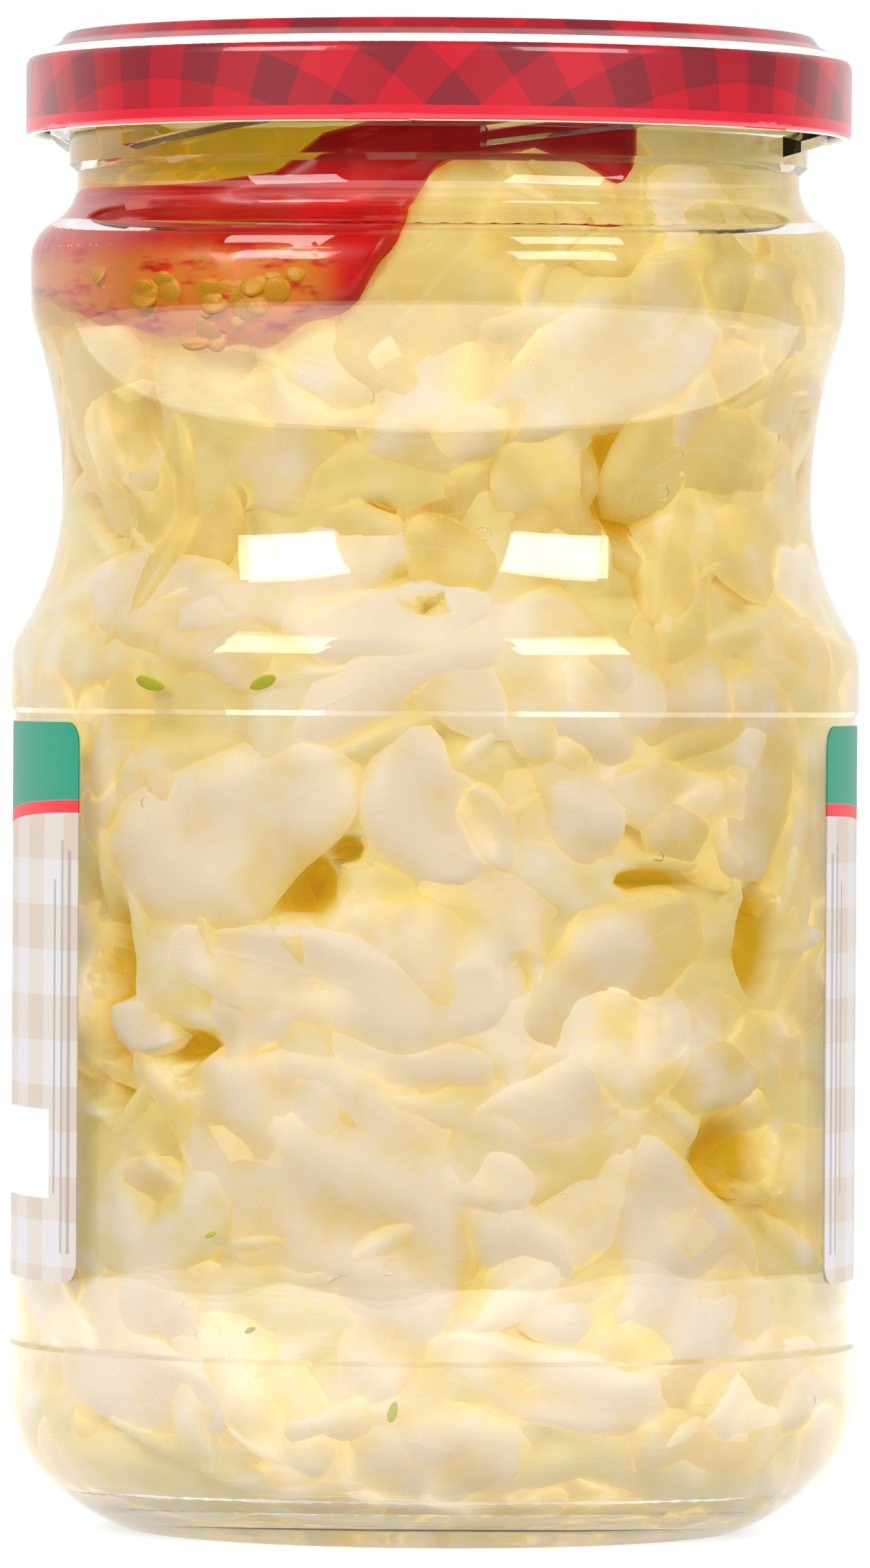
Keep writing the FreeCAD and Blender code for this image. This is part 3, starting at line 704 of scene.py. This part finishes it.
class Relief:
    """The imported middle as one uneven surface, made of many soft domes pressed together.
    Its depths under the glass are kept on a grid of rows of equal run."""

    domes, ribs = 460, 240
    softness = 0.3  # how far one dome blends into the next, mm

    def __init__(self, columns=320, rows=210):
        rng = random.Random(41)
        self.columns = columns
        self.run = np.linspace(LOWEST_RUN, wall.run[-1] - 1.5, rows)
        turns = np.linspace(0.0, math.tau, columns, endpoint=False)
        self.turn, self.height = np.meshgrid(turns, np.interp(self.run, wall.run, wall.z))
        around = math.tau * CHART_RADIUS
        low, high = self.run[0], self.run[-1]
        self.depth = np.full(self.turn.shape, 4.2)
        for k in range(self.domes + self.ribs):
            x = around * (k * NEXT_ROUND % 1.0)
            y = low + (high - low) * (k * NEXT_UP % 1.0)
            heading = rng.choice([rng.uniform(-0.6, 0.6), rng.uniform(0, math.pi)])
            length, half = rng.uniform(10.0, 19.0), rng.uniform(3.0, 7.0)
            level, tilt = rng.uniform(0.8, 2.4), rng.uniform(-0.8, 0.8)
            if k >= self.domes:
                length, half = rng.uniform(6.0, 15.0), rng.uniform(0.9, 2.2)
                level, tilt = rng.uniform(0.7, 1.5), rng.uniform(-0.2, 0.2)
            sideways = (self.turn - FRONT) * CHART_RADIUS - x
            sideways = (sideways + around / 2) % around - around / 2
            up = self.run[:, None] - y
            along = (sideways * math.cos(heading) + up * math.sin(heading)) / length
            across = (up * math.cos(heading) - sideways * math.sin(heading)) / half
            across = across + rng.uniform(-0.7, 0.7) * along ** 2
            dome = level + tilt * across + 2.4 * (along ** 2 + across ** 2) ** 1.3
            dome = dome + 0.1 * np.sin(across * half * 1.5 + 3.0 * along)
            share = np.clip(0.5 + 0.5 * (dome - self.depth) / self.softness, 0.0, 1.0)
            blend = self.softness * share * (1 - share)
            self.depth = dome + (self.depth - dome) * share - blend
        self.depth = np.maximum(self.depth, 0.6) + gap_depth(self.turn, self.height)

    def high(self):
        """Eases from 0 below the waist to 1 above it."""
        return np.interp(self.height, [WAIST - 8.0, WAIST + 8.0], [0.0, 1.0])

    def depth_at(self, turn, run):
        """Depth in mm under the glass, between the points of the grid."""
        column = turn / math.tau * self.columns
        row = (run - self.run[0]) / (self.run[1] - self.run[0])
        row = np.clip(row, 0.0, len(self.run) - 1.001)
        left, below = np.floor(column).astype(int), np.floor(row).astype(int)
        column, row = column - left, row - below
        left, right = left % self.columns, (left + 1) % self.columns
        first = self.depth[below, left] * (1 - column) + self.depth[below, right] * column
        second = self.depth[below + 1, left] * (1 - column)
        second = second + self.depth[below + 1, right] * column
        return first * (1 - row) + second * row

    def build(self):
        points = wall.place(self.turn, self.run[:, None], self.depth).reshape(-1, 3)
        rows, columns = self.depth.shape
        faces = ring_faces(rows, columns)
        low, high, last = len(points), len(points) + 1, (rows - 1) * columns
        faces += [[low, (k + 1) % columns, k] for k in range(columns)]
        faces += [[high, last + k, last + (k + 1) % columns] for k in range(columns)]
        ends = [[0.0, 0.0, points[k, 2]] for k in (0, last)]
        flat = np.append(self.depth.ravel(), [4.0, 4.0])
        runs = np.append(np.repeat(self.run, columns), [0.0, 0.0])
        facts = {"depth": flat, "across": np.full(len(flat), 0.5), "along": runs,
                 "tone": np.append(0.3 + self.high().ravel(), [0.3, 0.3])}
        add_object("packed_middle", np.vstack([points, ends]), faces, finishes["middle"],
                   facts)


def through(points, count):
    """A smooth line through control rows, with count rows evenly spaced along it."""
    points = np.asarray(points, float)
    padded = np.vstack([2 * points[0] - points[1], points, 2 * points[-1] - points[-2]])
    line = []
    for k in range(len(points) - 1):
        p0, p1, p2, p3 = padded[k:k + 4]
        for t in np.linspace(0, 1, 12, endpoint=False):
            line.append(
                0.5 * (2 * p1 + (p2 - p0) * t + (2 * p0 - 5 * p1 + 4 * p2 - p3) * t ** 2
                       + (3 * p1 - p0 - 3 * p2 + p3) * t ** 3)
            )
    line = np.array(line + [points[-1]])
    length = np.concatenate([[0], np.cumsum(np.hypot(*np.diff(line[:, :2], axis=0).T))])
    even = np.linspace(0, length[-1], count)
    return np.stack([np.interp(even, length, column) for column in line.T], 1), length[-1]


def waves(rng, across, along, size, short, long):
    """Gentle unevenness made of a few crossing swells, in mm."""
    total = np.zeros_like(across)
    for _ in range(4):
        heading, span = rng.uniform(0, math.tau), rng.uniform(short, long)
        phase = rng.uniform(0, math.tau)
        swell = across * math.cos(heading) + along * math.sin(heading)
        total += np.sin(math.tau * swell / span + phase) * rng.uniform(0.4, 1.0)
    return total * size / 2.0


def grow_leaf(heap, rng, spine, shape, to_wall, opened=1.0, columns=15, step=1.2):
    """One leaf of cabbage from its spine of (sideways, up, half width) rows in mm. shape gives
    its depth, how much its edges roll in, its thickness, its swell, its lean and its sink.
    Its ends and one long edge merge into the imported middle, and the other edge stays crisp."""
    line, length = through(spine, 4)
    rows = max(9, int(length / step) + 1)
    line, length = through(spine, rows)
    u = np.linspace(-1, 1, columns)
    v = np.linspace(0, 1, rows)
    way = np.gradient(line[:, :2], axis=0)
    way /= np.linalg.norm(way, axis=1)[:, None]
    side = np.stack([way[:, 1], -way[:, 0]], 1)
    ends = np.sqrt(np.clip(1 - (1 - np.minimum(v, 1 - v) / 0.09).clip(0) ** 2, 0.0004, 1))
    half = np.maximum(line[:, 2], 0.4) * shape["spread"] * ends
    wobble = 1 + 0.09 * np.sin(v * rng.uniform(9, 16) + rng.uniform(0, 6))
    left = half * wobble
    right = half * (1 + 0.09 * np.sin(v * rng.uniform(9, 16) + rng.uniform(0, 6)))
    reach = np.where(u[None, :] < 0, left[:, None], right[:, None]) * u[None, :]
    sideways = line[:, :1] + reach * side[:, :1]
    up = line[:, 1:2] + reach * side[:, 1:2]
    turn, run = to_wall(sideways, up)
    height = np.interp(run, wall.run, wall.z)
    edge = np.maximum(np.abs(u)[None, :] ** 3, (np.abs(2 * v - 1) ** 9)[:, None])
    depth = shape["depth"] + shape["roll"] * edge ** 1.5
    depth = depth + shape["lean"] * u[None, :] + shape["sink"] * (v[:, None] - 0.5)
    depth = depth + waves(rng, sideways, up, shape["swell"], 7.0, 17.0)
    depth = np.maximum(depth, PRESS) + 0.12 * np.minimum(depth - PRESS, 0)
    depth = np.maximum(depth, PRESS * 0.6) + opened * gap_depth(turn, height)
    under = np.minimum(relief.depth_at(turn, run), 3.4) + 0.3
    crisp = rng.choice((-1.0, 1.0))
    edges = np.clip((np.abs(u) - 0.5) / 0.5, 0, 1) ** 2 * np.where(u * crisp > 0, 0.3, 1.0)
    tips = np.clip((np.abs(2 * v - 1) - 0.75) / 0.25, 0, 1) ** 2
    merge = np.maximum(edges[None, :], tips[:, None])
    depth = depth + np.maximum(under - depth, 0.0) * merge
    thick = shape["thick"] * (1 - 0.94 * edge)
    outer = wall.place(turn, run, depth)
    inner = wall.place(turn, run, depth + thick)
    heap.add(
        outer, inner, depth, thick, np.broadcast_to(u[None, :], depth.shape),
        np.broadcast_to(v[:, None] * length, depth.shape),
        shape["tint"] + rng.uniform(-0.8, 0.8),
    )


FRONT_LEAVES = [  # (depth, roll, spine of (across, height, half width) in mm)
    (0.5, 2.0, [(7.5, 140, 6), (5, 133.5, 6.5), (0.5, 128, 6.5), (-5, 122.5, 6),
                (-8, 118, 4.5), (-9, 115, 1.5)]),
    (1.6, 1.6, [(16, 139, 7.5), (13, 132, 8.5), (7.5, 125, 8), (1, 119.5, 6.5),
                (-2.5, 116, 4)]),
    (0.5, 2.0, [(29.5, 130, 4), (24, 122.5, 6.5), (17, 119, 5.5), (10, 115, 4),
                (2.5, 112, 3.5), (-4.5, 111.5, 2.5), (-9, 113, 1.5)]),
    (0.5, 2.2, [(-20, 119, 2), (-18, 114, 4.5), (-15.5, 109.5, 5.5), (-14, 106, 5.5),
                (-14, 103, 2.5)]),
    (1.6, 1.6, [(-30, 119, 5.5), (-28.5, 111.5, 6), (-26.5, 105.5, 4.5), (-24.5, 101.5, 2)]),
    (0.8, 1.5, [(-37.5, 124.5, 2.5), (-36, 116.5, 3.5), (-34.5, 109.5, 3), (-32.5, 101.5, 2)]),
    (0.4, 1.2, [(27.5, 135, 2), (30, 131.5, 3), (31.5, 126.5, 3), (29.5, 122.5, 1.5)]),
    (0.8, 1.5, [(35.5, 132, 2.5), (37, 124.5, 2.5), (36, 116.5, 2), (34, 107, 1.5)]),
    (0.7, 1.4, [(32, 122.5, 2), (33, 116.5, 2.5), (31.5, 111, 1.5)]),
    (0.6, 2.0, [(19, 104, 2), (23, 108.5, 4), (28.5, 111, 4.5), (34, 108.5, 4),
                (35.5, 101.5, 2.5)]),
    (1.4, 1.8, [(-4.5, 105.5, 1.5), (0.5, 104, 3.5), (6.5, 105.5, 4.5), (14.5, 109.5, 4),
                (17.5, 111.5, 1.5)]),
    (0.6, 1.8, [(-14, 103.5, 2), (-10, 101.5, 3.5), (-6, 100.5, 3), (-4.5, 97.5, 1.5)]),
    (0.6, 1.8, [(-4, 100.5, 2), (0.5, 100.5, 3.5), (5.5, 99, 2.5), (7.5, 97.5, 1)]),
    (0.6, 2.0, [(-38, 94.5, 2.5), (-32, 95, 4.5), (-24.5, 93, 5), (-20, 88, 2.5),
                (-18.5, 86, 1)]),
    (0.8, 2.0, [(-17.5, 82.5, 1.5), (-11.5, 85, 3.5), (-2.5, 89, 4), (6.5, 93, 4),
                (11.5, 94.5, 2)]),
    (0.5, 2.2, [(-1, 83.5, 1.5), (-2.5, 78.5, 4.5), (-1, 73, 5), (3.5, 69.5, 3.5),
                (5, 67, 1)]),
    (0.4, 2.0, [(19, 92, 1.5), (18, 87.5, 3.5), (15.5, 82, 5), (15.5, 75, 4), (19, 69.5, 2)]),
    (0.3, 1.5, [(2.5, 76.5, 1), (5, 74.5, 2.5), (7, 71, 2), (8.5, 68, 0.5)]),
    (1.0, 2.0, [(23, 96, 2), (26.5, 89.5, 4.5), (27.5, 82.5, 5), (27, 75, 4.5),
                (25.5, 68.5, 2)]),
    (0.8, 1.6, [(34, 89.5, 2), (35, 82.5, 3), (34, 74, 3.5), (32, 67, 2)]),
    (0.4, 2.2, [(-8, 79, 1.5), (-13, 76.5, 4.5), (-21, 73, 7), (-28.5, 69, 6.5),
                (-34, 65.5, 3.5)]),
    (0.5, 2.2, [(-29.5, 60.5, 1.5), (-22.5, 60, 3.5), (-13.5, 58, 4.5), (-4.5, 56, 5),
                (4.5, 56.5, 3.5), (10.5, 60, 1.5)]),
    (0.4, 2.4, [(29.5, 64, 2), (24, 62, 4.5), (18.5, 58, 5.5), (13, 53.5, 4), (10, 50, 1.5)]),
    (1.2, 1.8, [(-20, 54.5, 1.5), (-12, 53.5, 3), (-4.5, 51, 3.5), (3.5, 49, 3), (8, 47.5, 1)]),
    (0.4, 2.0, [(2.5, 42.5, 1), (7.5, 43.5, 2.5), (13.5, 44.5, 3.5), (19, 48, 4), (23, 52, 2)]),
    (0.4, 2.2, [(-28, 45.5, 4.5), (-19, 42.5, 8), (-10, 37, 10), (-3.5, 30, 8), (-4.5, 22, 5),
                (-9, 15, 2)]),
    (0.4, 1.4, [(-33, 55.5, 1), (-32.5, 53, 2.5), (-30, 51.5, 2), (-27, 51.5, 0.5)]),
    (0.9, 1.8, [(-32, 39.5, 2.5), (-30, 33, 4), (-29.5, 26, 4), (-28, 19, 3)]),
    (0.6, 2.2, [(21, 42.5, 2), (23, 37, 4.5), (26.5, 30, 6.5), (29.5, 23, 5.5), (30, 16.5, 2.5)]),
    (0.6, 1.8, [(35.5, 50, 1.5), (31, 48, 3.5), (26.5, 47, 3.5), (23, 49, 1.5)]),
    (0.7, 2.0, [(2.5, 40, 1), (6.5, 34.5, 3), (10.5, 29, 4), (15, 23.5, 3), (17, 20, 0.5)]),
    (0.5, 1.8, [(-1.5, 20.5, 1), (4.5, 19.5, 2.5), (11.5, 17, 3.5), (19, 14.5, 3.5),
                (26.5, 14.5, 2.5)]),
    (0.5, 2.0, [(-41, 23.5, 2), (-36.5, 20, 4), (-31, 16, 5), (-25.5, 14.5, 3.5),
                (-21.5, 11, 1.5)]),
    (0.8, 1.8, [(-17.5, 10.5, 1.5), (-10, 11, 3.5), (-1, 11, 4), (6.5, 9, 3.5)]),
    (0.8, 1.8, [(21.5, 10.5, 2), (28.5, 10.5, 4), (35, 15, 4), (39, 22, 2)]),
    (1.2, 1.8, [(-4.5, 26, 1), (0.5, 23, 2.5), (6.5, 20.5, 2.5), (13, 17.5, 2)]),
]


def chart_to_wall(sideways, up):
    return FRONT + sideways / CHART_RADIUS, up


def lay_leaves():
    """The large leaves at the front, each in its own place."""
    rng = random.Random(11)
    heap = Heap()
    for depth, roll, spine in FRONT_LEAVES:
        high = np.mean([row[1] for row in spine]) > WAIST - 2.0
        shape = {"depth": depth + 0.35, "roll": 0.35 * roll, "spread": 1.25,
                 "tint": 1.3 if high else 0.0, "thick": rng.uniform(1.1, 1.7),
                 "swell": rng.uniform(0.6, 1.1), "lean": rng.uniform(-0.3, 0.3),
                 "sink": rng.uniform(-0.3, 0.3)}
        grow_leaf(heap, rng, spine, shape, front_to_wall, opened=0.0)
    heap.build("cabbage_leaves", finishes["leaves"], "contents")


def scatter_pieces():
    """Loose pieces in layers all round the jar, the deepest first."""
    rng = random.Random(23)
    heap = Heap()
    low, high = LOWEST_RUN, wall.run[-1] - 2.0
    around = math.tau * CHART_RADIUS
    layers = [  # count, depth from, to, length from, to, half width from, to, held back in front
        (110, 0.8, 1.8, 18.0, 36.0, 4.5, 9.0, False),
        (110, 0.3, 1.2, 14.0, 34.0, 3.0, 7.5, True),
    ]
    for count, shallow, deep, short, long, slim, wide, held_back in layers:
        for k in range(count):
            x = around * ((k * NEXT_ROUND + rng.uniform(-0.01, 0.01)) % 1.0) - around / 2
            y = low + (high - low) * ((k * NEXT_UP + rng.uniform(-0.02, 0.02)) % 1.0)
            heading = rng.choice([rng.uniform(-0.6, 0.6), rng.uniform(0, math.pi)])
            length, half = rng.uniform(short, long), rng.uniform(slim, wide)
            bend = rng.uniform(-0.5, 0.5)
            spine = []
            for t, share in ((-0.5, 0.25), (-0.25, 0.8), (0.0, 1.0), (0.25, 0.85), (0.5, 0.3)):
                course = heading + bend * t
                spine.append((
                    x + length * t * math.cos(course), y + length * t * math.sin(course),
                    half * share * rng.uniform(0.8, 1.15),
                ))
            depth = rng.uniform(shallow, deep)
            facing = abs(x) < CHART_RADIUS * 1.05
            shape = {"depth": depth, "roll": rng.uniform(0.3, 0.9), "spread": 1.0,
                     "tint": 1.2 if y > wall.run_at(WAIST) else 0.2,
                     "thick": rng.uniform(0.9, 1.8), "swell": rng.uniform(0.2, 0.6),
                     "lean": rng.uniform(-0.8, 0.8), "sink": rng.uniform(-0.9, 0.9)}
            if held_back and facing:
                shape["depth"] += 0.25
            grow_leaf(heap, rng, spine, shape, chart_to_wall, columns=9, step=2.2)
    heap.build("cabbage_pieces", finishes["pieces"], "contents")


# ---------------------------------------------------------------- pepper

PEPPER_FOOT = [  # across and height of the slice's lower edge, mm
    (-45.0, 128.0), (-40.0, 125.8), (-35.7, 123.1), (-25.5, 120.9), (-20.0, 120.6),
    (-12.2, 123.5), (-8.2, 125.4), (-5.9, 129.8), (-2.7, 135.3), (-0.4, 138.8), (2.0, 139.8),
    (11.4, 140.7), (17.0, 139.4), (21.6, 137.0), (24.0, 140.5),
]
PEPPER_HEAD = [  # and of its upper edge
    (-45.0, 136.5), (-30.0, 137.0), (-20.0, 138.5), (-14.0, 142.5), (-8.0, 143.8), (24.0, 143.8),
]


def lay_pepper():
    """A thick slice of pepper pressed against the glass, with a rolled edge."""
    rng = random.Random(5)
    rows, columns = 30, 150
    reach = 41.5
    start, end = math.radians(-97.0), math.asin(24.0 / reach)
    turn = np.linspace(start, end, columns)[None, :] * np.ones((rows, 1))
    seen = np.where(turn < math.radians(-88), -45.0, reach * np.sin(turn))
    foot = np.interp(seen, *zip(*PEPPER_FOOT))
    head = np.interp(seen, *zip(*PEPPER_HEAD))
    v = np.linspace(0, 1, rows)[:, None]
    height = foot + (head - foot) * v
    height += 0.35 * np.sin(turn * 31) * (1 - v) * (head - foot) / 20
    run = wall.run_at(height)
    ends = np.minimum(np.arange(columns), np.arange(columns)[::-1])[None, :] / 6.0
    edge = np.maximum(np.abs(2 * v - 1) ** 8, np.clip(1 - ends, 0, 1) ** 2)
    depth = 0.35 + 1.9 * edge ** 1.5
    depth = depth + np.maximum(waves(rng, seen, height, 0.6, 8.0, 16.0), -0.1)
    thick = 4.2 * (1 - 0.85 * edge ** 1.3)
    outer = wall.place(FRONT + turn, run, depth)
    inner = wall.place(FRONT + turn, run, depth + thick)
    heap = Heap()
    heap.add(outer, inner, depth, thick, seen + 12.0, height - 120.0, 0.0)
    pepper = heap.build("pepper_slice", finishes["pepper"], "pepper")
    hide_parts("pepper")


def pressed_round(rows, columns, end, flatness, corner=0.0):
    """A small round body of unit size, pressed flat, with one blunt corner if it has any.
    end is the share of its height where it is closed off."""
    points = []
    for v in np.linspace(1 - end, end, rows):
        for u in np.linspace(0, math.tau, columns, endpoint=False):
            r = math.sin(math.pi * v) * (1 + corner * max(0.0, math.cos(u)) ** 6)
            points.append((r * math.cos(u), r * math.sin(u), flatness * math.cos(math.pi * v)))
    faces = ring_faces(rows, columns)
    faces.append(list(range(columns))[::-1])
    faces.append(list(range((rows - 1) * columns, rows * columns)))
    return np.array(points), faces


SEED = pressed_round(8, 14, 0.06, 0.26, corner=0.18)
BEAD = pressed_round(9, 16, 0.04, 0.4)


def scatter_small(name, shape, spots, finish, rng):
    """Small bits lying against the wall, from (turn, height, depth, size, stretch) rows."""
    points, faces = shape
    vertices, faces_of_all, tilt = [], [], 0.6
    for turn, height, depth, size, stretch in spots:
        run = wall.run_at(height)
        centre = wall.place(np.array(turn), np.array(run), np.array(depth))
        out = Vector((math.cos(turn), math.sin(turn), 0.0))
        lean = Matrix.Rotation(rng.uniform(-tilt, tilt), 3, "X")
        spin = Matrix.Rotation(rng.uniform(0, math.tau), 3, "Z")
        stand = out.to_track_quat("Z", "Y").to_matrix()
        turned_points = points * np.array([stretch, 1.0, 1.0]) * size * MM
        turned_points = turned_points @ np.array(stand @ lean @ spin).T + centre
        base = len(vertices) * len(points)
        vertices.append(turned_points)
        faces_of_all += [[corner + base for corner in face] for face in faces]
    add_object(name, np.concatenate(vertices), faces_of_all, finishes[finish])


def lay_seeds():
    """Pepper seeds in a few clusters over the orange flesh."""
    rng = random.Random(9)
    clusters = [  # across, height, spread across, spread up, count
        (-30.0, 127.0, 2.0, 1.2, 7), (-20.5, 125.6, 4.5, 1.2, 13), (-36.5, 129.8, 1.2, 1.2, 4),
        (-25.0, 122.6, 1.5, 0.8, 4), (-17.0, 128.0, 2.5, 1.2, 4),
    ]
    spots = []
    for x, z, wide, tall, count in clusters:
        for _ in range(count):
            height = z + rng.uniform(-tall, tall)
            turn, _run = front_to_wall(np.array(x + rng.uniform(-wide, wide)), np.array(height))
            spots.append((float(turn), height, rng.uniform(0.45, 0.9), rng.uniform(1.2, 1.7),
                          rng.uniform(1.0, 1.3)))
    scatter_small("pepper_seeds", SEED, spots, "seed", rng)


def lay_flecks():
    """Flecks of herb: a few in front, each in its own place, and the rest behind."""
    rng = random.Random(3)
    spots = []
    for x, z, size in ((-30.3, 87.0, 0.8), (-18.2, 87.2, 0.7), (-4.1, 14.2, 0.5),
                       (-19.1, 22.2, 0.3), (-23.4, 31.6, 0.3)):
        turn, _run = front_to_wall(np.array(x), np.array(z))
        spots.append((float(turn), z, 0.35, size, 2.2))
    for _ in range(14):
        spots.append((FRONT + rng.uniform(1.3, 5.0), rng.uniform(15, 120), 0.4,
                      rng.uniform(0.3, 0.7), rng.uniform(1.5, 2.4)))
    scatter_small("herb_flecks", SEED, spots, "fleck", rng)


def lay_bubbles():
    """Small bubbles of air caught under the glass."""
    rng = random.Random(17)
    spots = []
    for x, z, size in ((5.0, 102.0, 0.85), (-4.5, 28.8, 0.9), (-30.5, 75.0, 0.5),
                       (16.3, 79.5, 0.45), (24.0, 106.5, 0.8), (-24.5, 21.5, 0.35),
                       (-21.0, 19.5, 0.3), (-19.0, 17.0, 0.35), (-26.0, 24.5, 0.3)):
        turn, _run = front_to_wall(np.array(x), np.array(z))
        spots.append((float(turn), z, size * 0.4 + 0.05, size, 1.15))
    for _ in range(46):
        size = rng.uniform(0.2, 0.6)
        spots.append((rng.uniform(0, math.tau), rng.uniform(12, 136), size * 0.4 + 0.05,
                      size, rng.uniform(1.0, 1.2)))
    scatter_small("air_bubbles", BEAD, spots, "bubble", rng)


relief = Relief()
fill_with_brine()
relief.build()
lay_leaves()
scatter_pieces()
lay_pepper()
lay_seeds()
lay_flecks()
lay_bubbles()


# ---------------------------------------------------------------- studio

def light_studio():
    """A white room, two softboxes in front and a pale floor."""
    scene = bpy.context.scene
    scene.view_settings.view_transform = "Standard"
    scene.cycles.max_bounces = 14
    scene.cycles.transmission_bounces = 12
    scene.cycles.transparent_max_bounces = 24
    scene.cycles.diffuse_bounces = 2
    scene.cycles.adaptive_threshold = 0.04
    scene.cycles.sample_clamp_indirect = 6.0
    scene.cycles.caustics_reflective = False
    scene.cycles.caustics_refractive = False

    world = bpy.data.worlds.new("white_studio")
    scene.world = world
    world.use_nodes = True
    world.node_tree.nodes.clear()
    bench = Bench(world.node_tree)
    # Lit evenly all round, but what the glass mirrors is white only behind the jar.
    mirrored = bench.add("ShaderNodeLightPath").outputs["Is Glossy Ray"]
    way = bench.add("ShaderNodeTexCoord").outputs["Generated"]
    parts = bench.add("ShaderNodeSeparateXYZ", {"Vector": way}).outputs
    behind = bench.step(parts[1], 0.1, 0.8, 0.04, 1.0)
    both = bench.math("MULTIPLY", mirrored, bench.math("SUBTRACT", behind, 1.25))
    strength = bench.math("ADD", both, 1.25)
    sky = bench.add("ShaderNodeBackground", {"Color": (1, 1, 1, 1), "Strength": strength})
    bench.add("ShaderNodeOutputWorld", {"Surface": sky.outputs[0]})

    for name, side in (("left_softbox", -47.5), ("right_softbox", 38.7)):
        turn, rise, away = FRONT + math.radians(side), math.radians(27.0), 1.2
        light = bpy.data.lights.new(name, "AREA")
        light.shape, light.size, light.size_y = "RECTANGLE", 0.62, 0.36
        light.energy = 6.0
        lamp = bpy.data.objects.new(name, light)
        scene.collection.objects.link(lamp)
        out = Vector((math.cos(turn) * math.cos(rise), math.sin(turn) * math.cos(rise),
                      math.sin(rise)))
        lamp.location = out * away + Vector((0, 0, 0.08))
        lamp.rotation_euler = out.to_track_quat("Z", "Y").to_euler()

    steps, reach = 96, 0.55
    rim = [(reach * math.cos(k * math.tau / steps), reach * math.sin(k * math.tau / steps), 0.0)
           for k in range(steps)]
    mesh = bpy.data.meshes.new("floor")
    mesh.from_pydata(rim, [], [list(range(steps))])
    material, *_ = new_material(
        "pale_floor", {"Base Color": (0.97, 0.97, 0.97, 1.0), "Roughness": 0.4,
                       "Emission Color": (1.0, 1.0, 1.0, 1.0), "Emission Strength": 0.5}
    )
    mesh.materials.append(material)
    floor = bpy.data.objects.new("floor", mesh)
    scene.collection.objects.link(floor)


def stand_camera():
    camera = bpy.data.cameras.new("camera")
    camera.lens, camera.sensor_width = 274.5, 36.0
    camera.clip_start, camera.clip_end = 0.05, 20.0
    viewer = bpy.data.objects.new("camera", camera)
    bpy.context.scene.collection.objects.link(viewer)
    away, height, aim, roll = 1.236, 0.0893, 0.0767, math.radians(0.34)
    viewer.location = (away * math.cos(FRONT), away * math.sin(FRONT), height)
    look = Vector((0, 0, aim)) - viewer.location
    facing = look.to_track_quat("-Z", "Y").to_matrix()
    viewer.rotation_euler = (facing @ Matrix.Rotation(roll, 3, "Z")).to_euler()
    bpy.context.scene.camera = viewer


light_studio()
stand_camera()
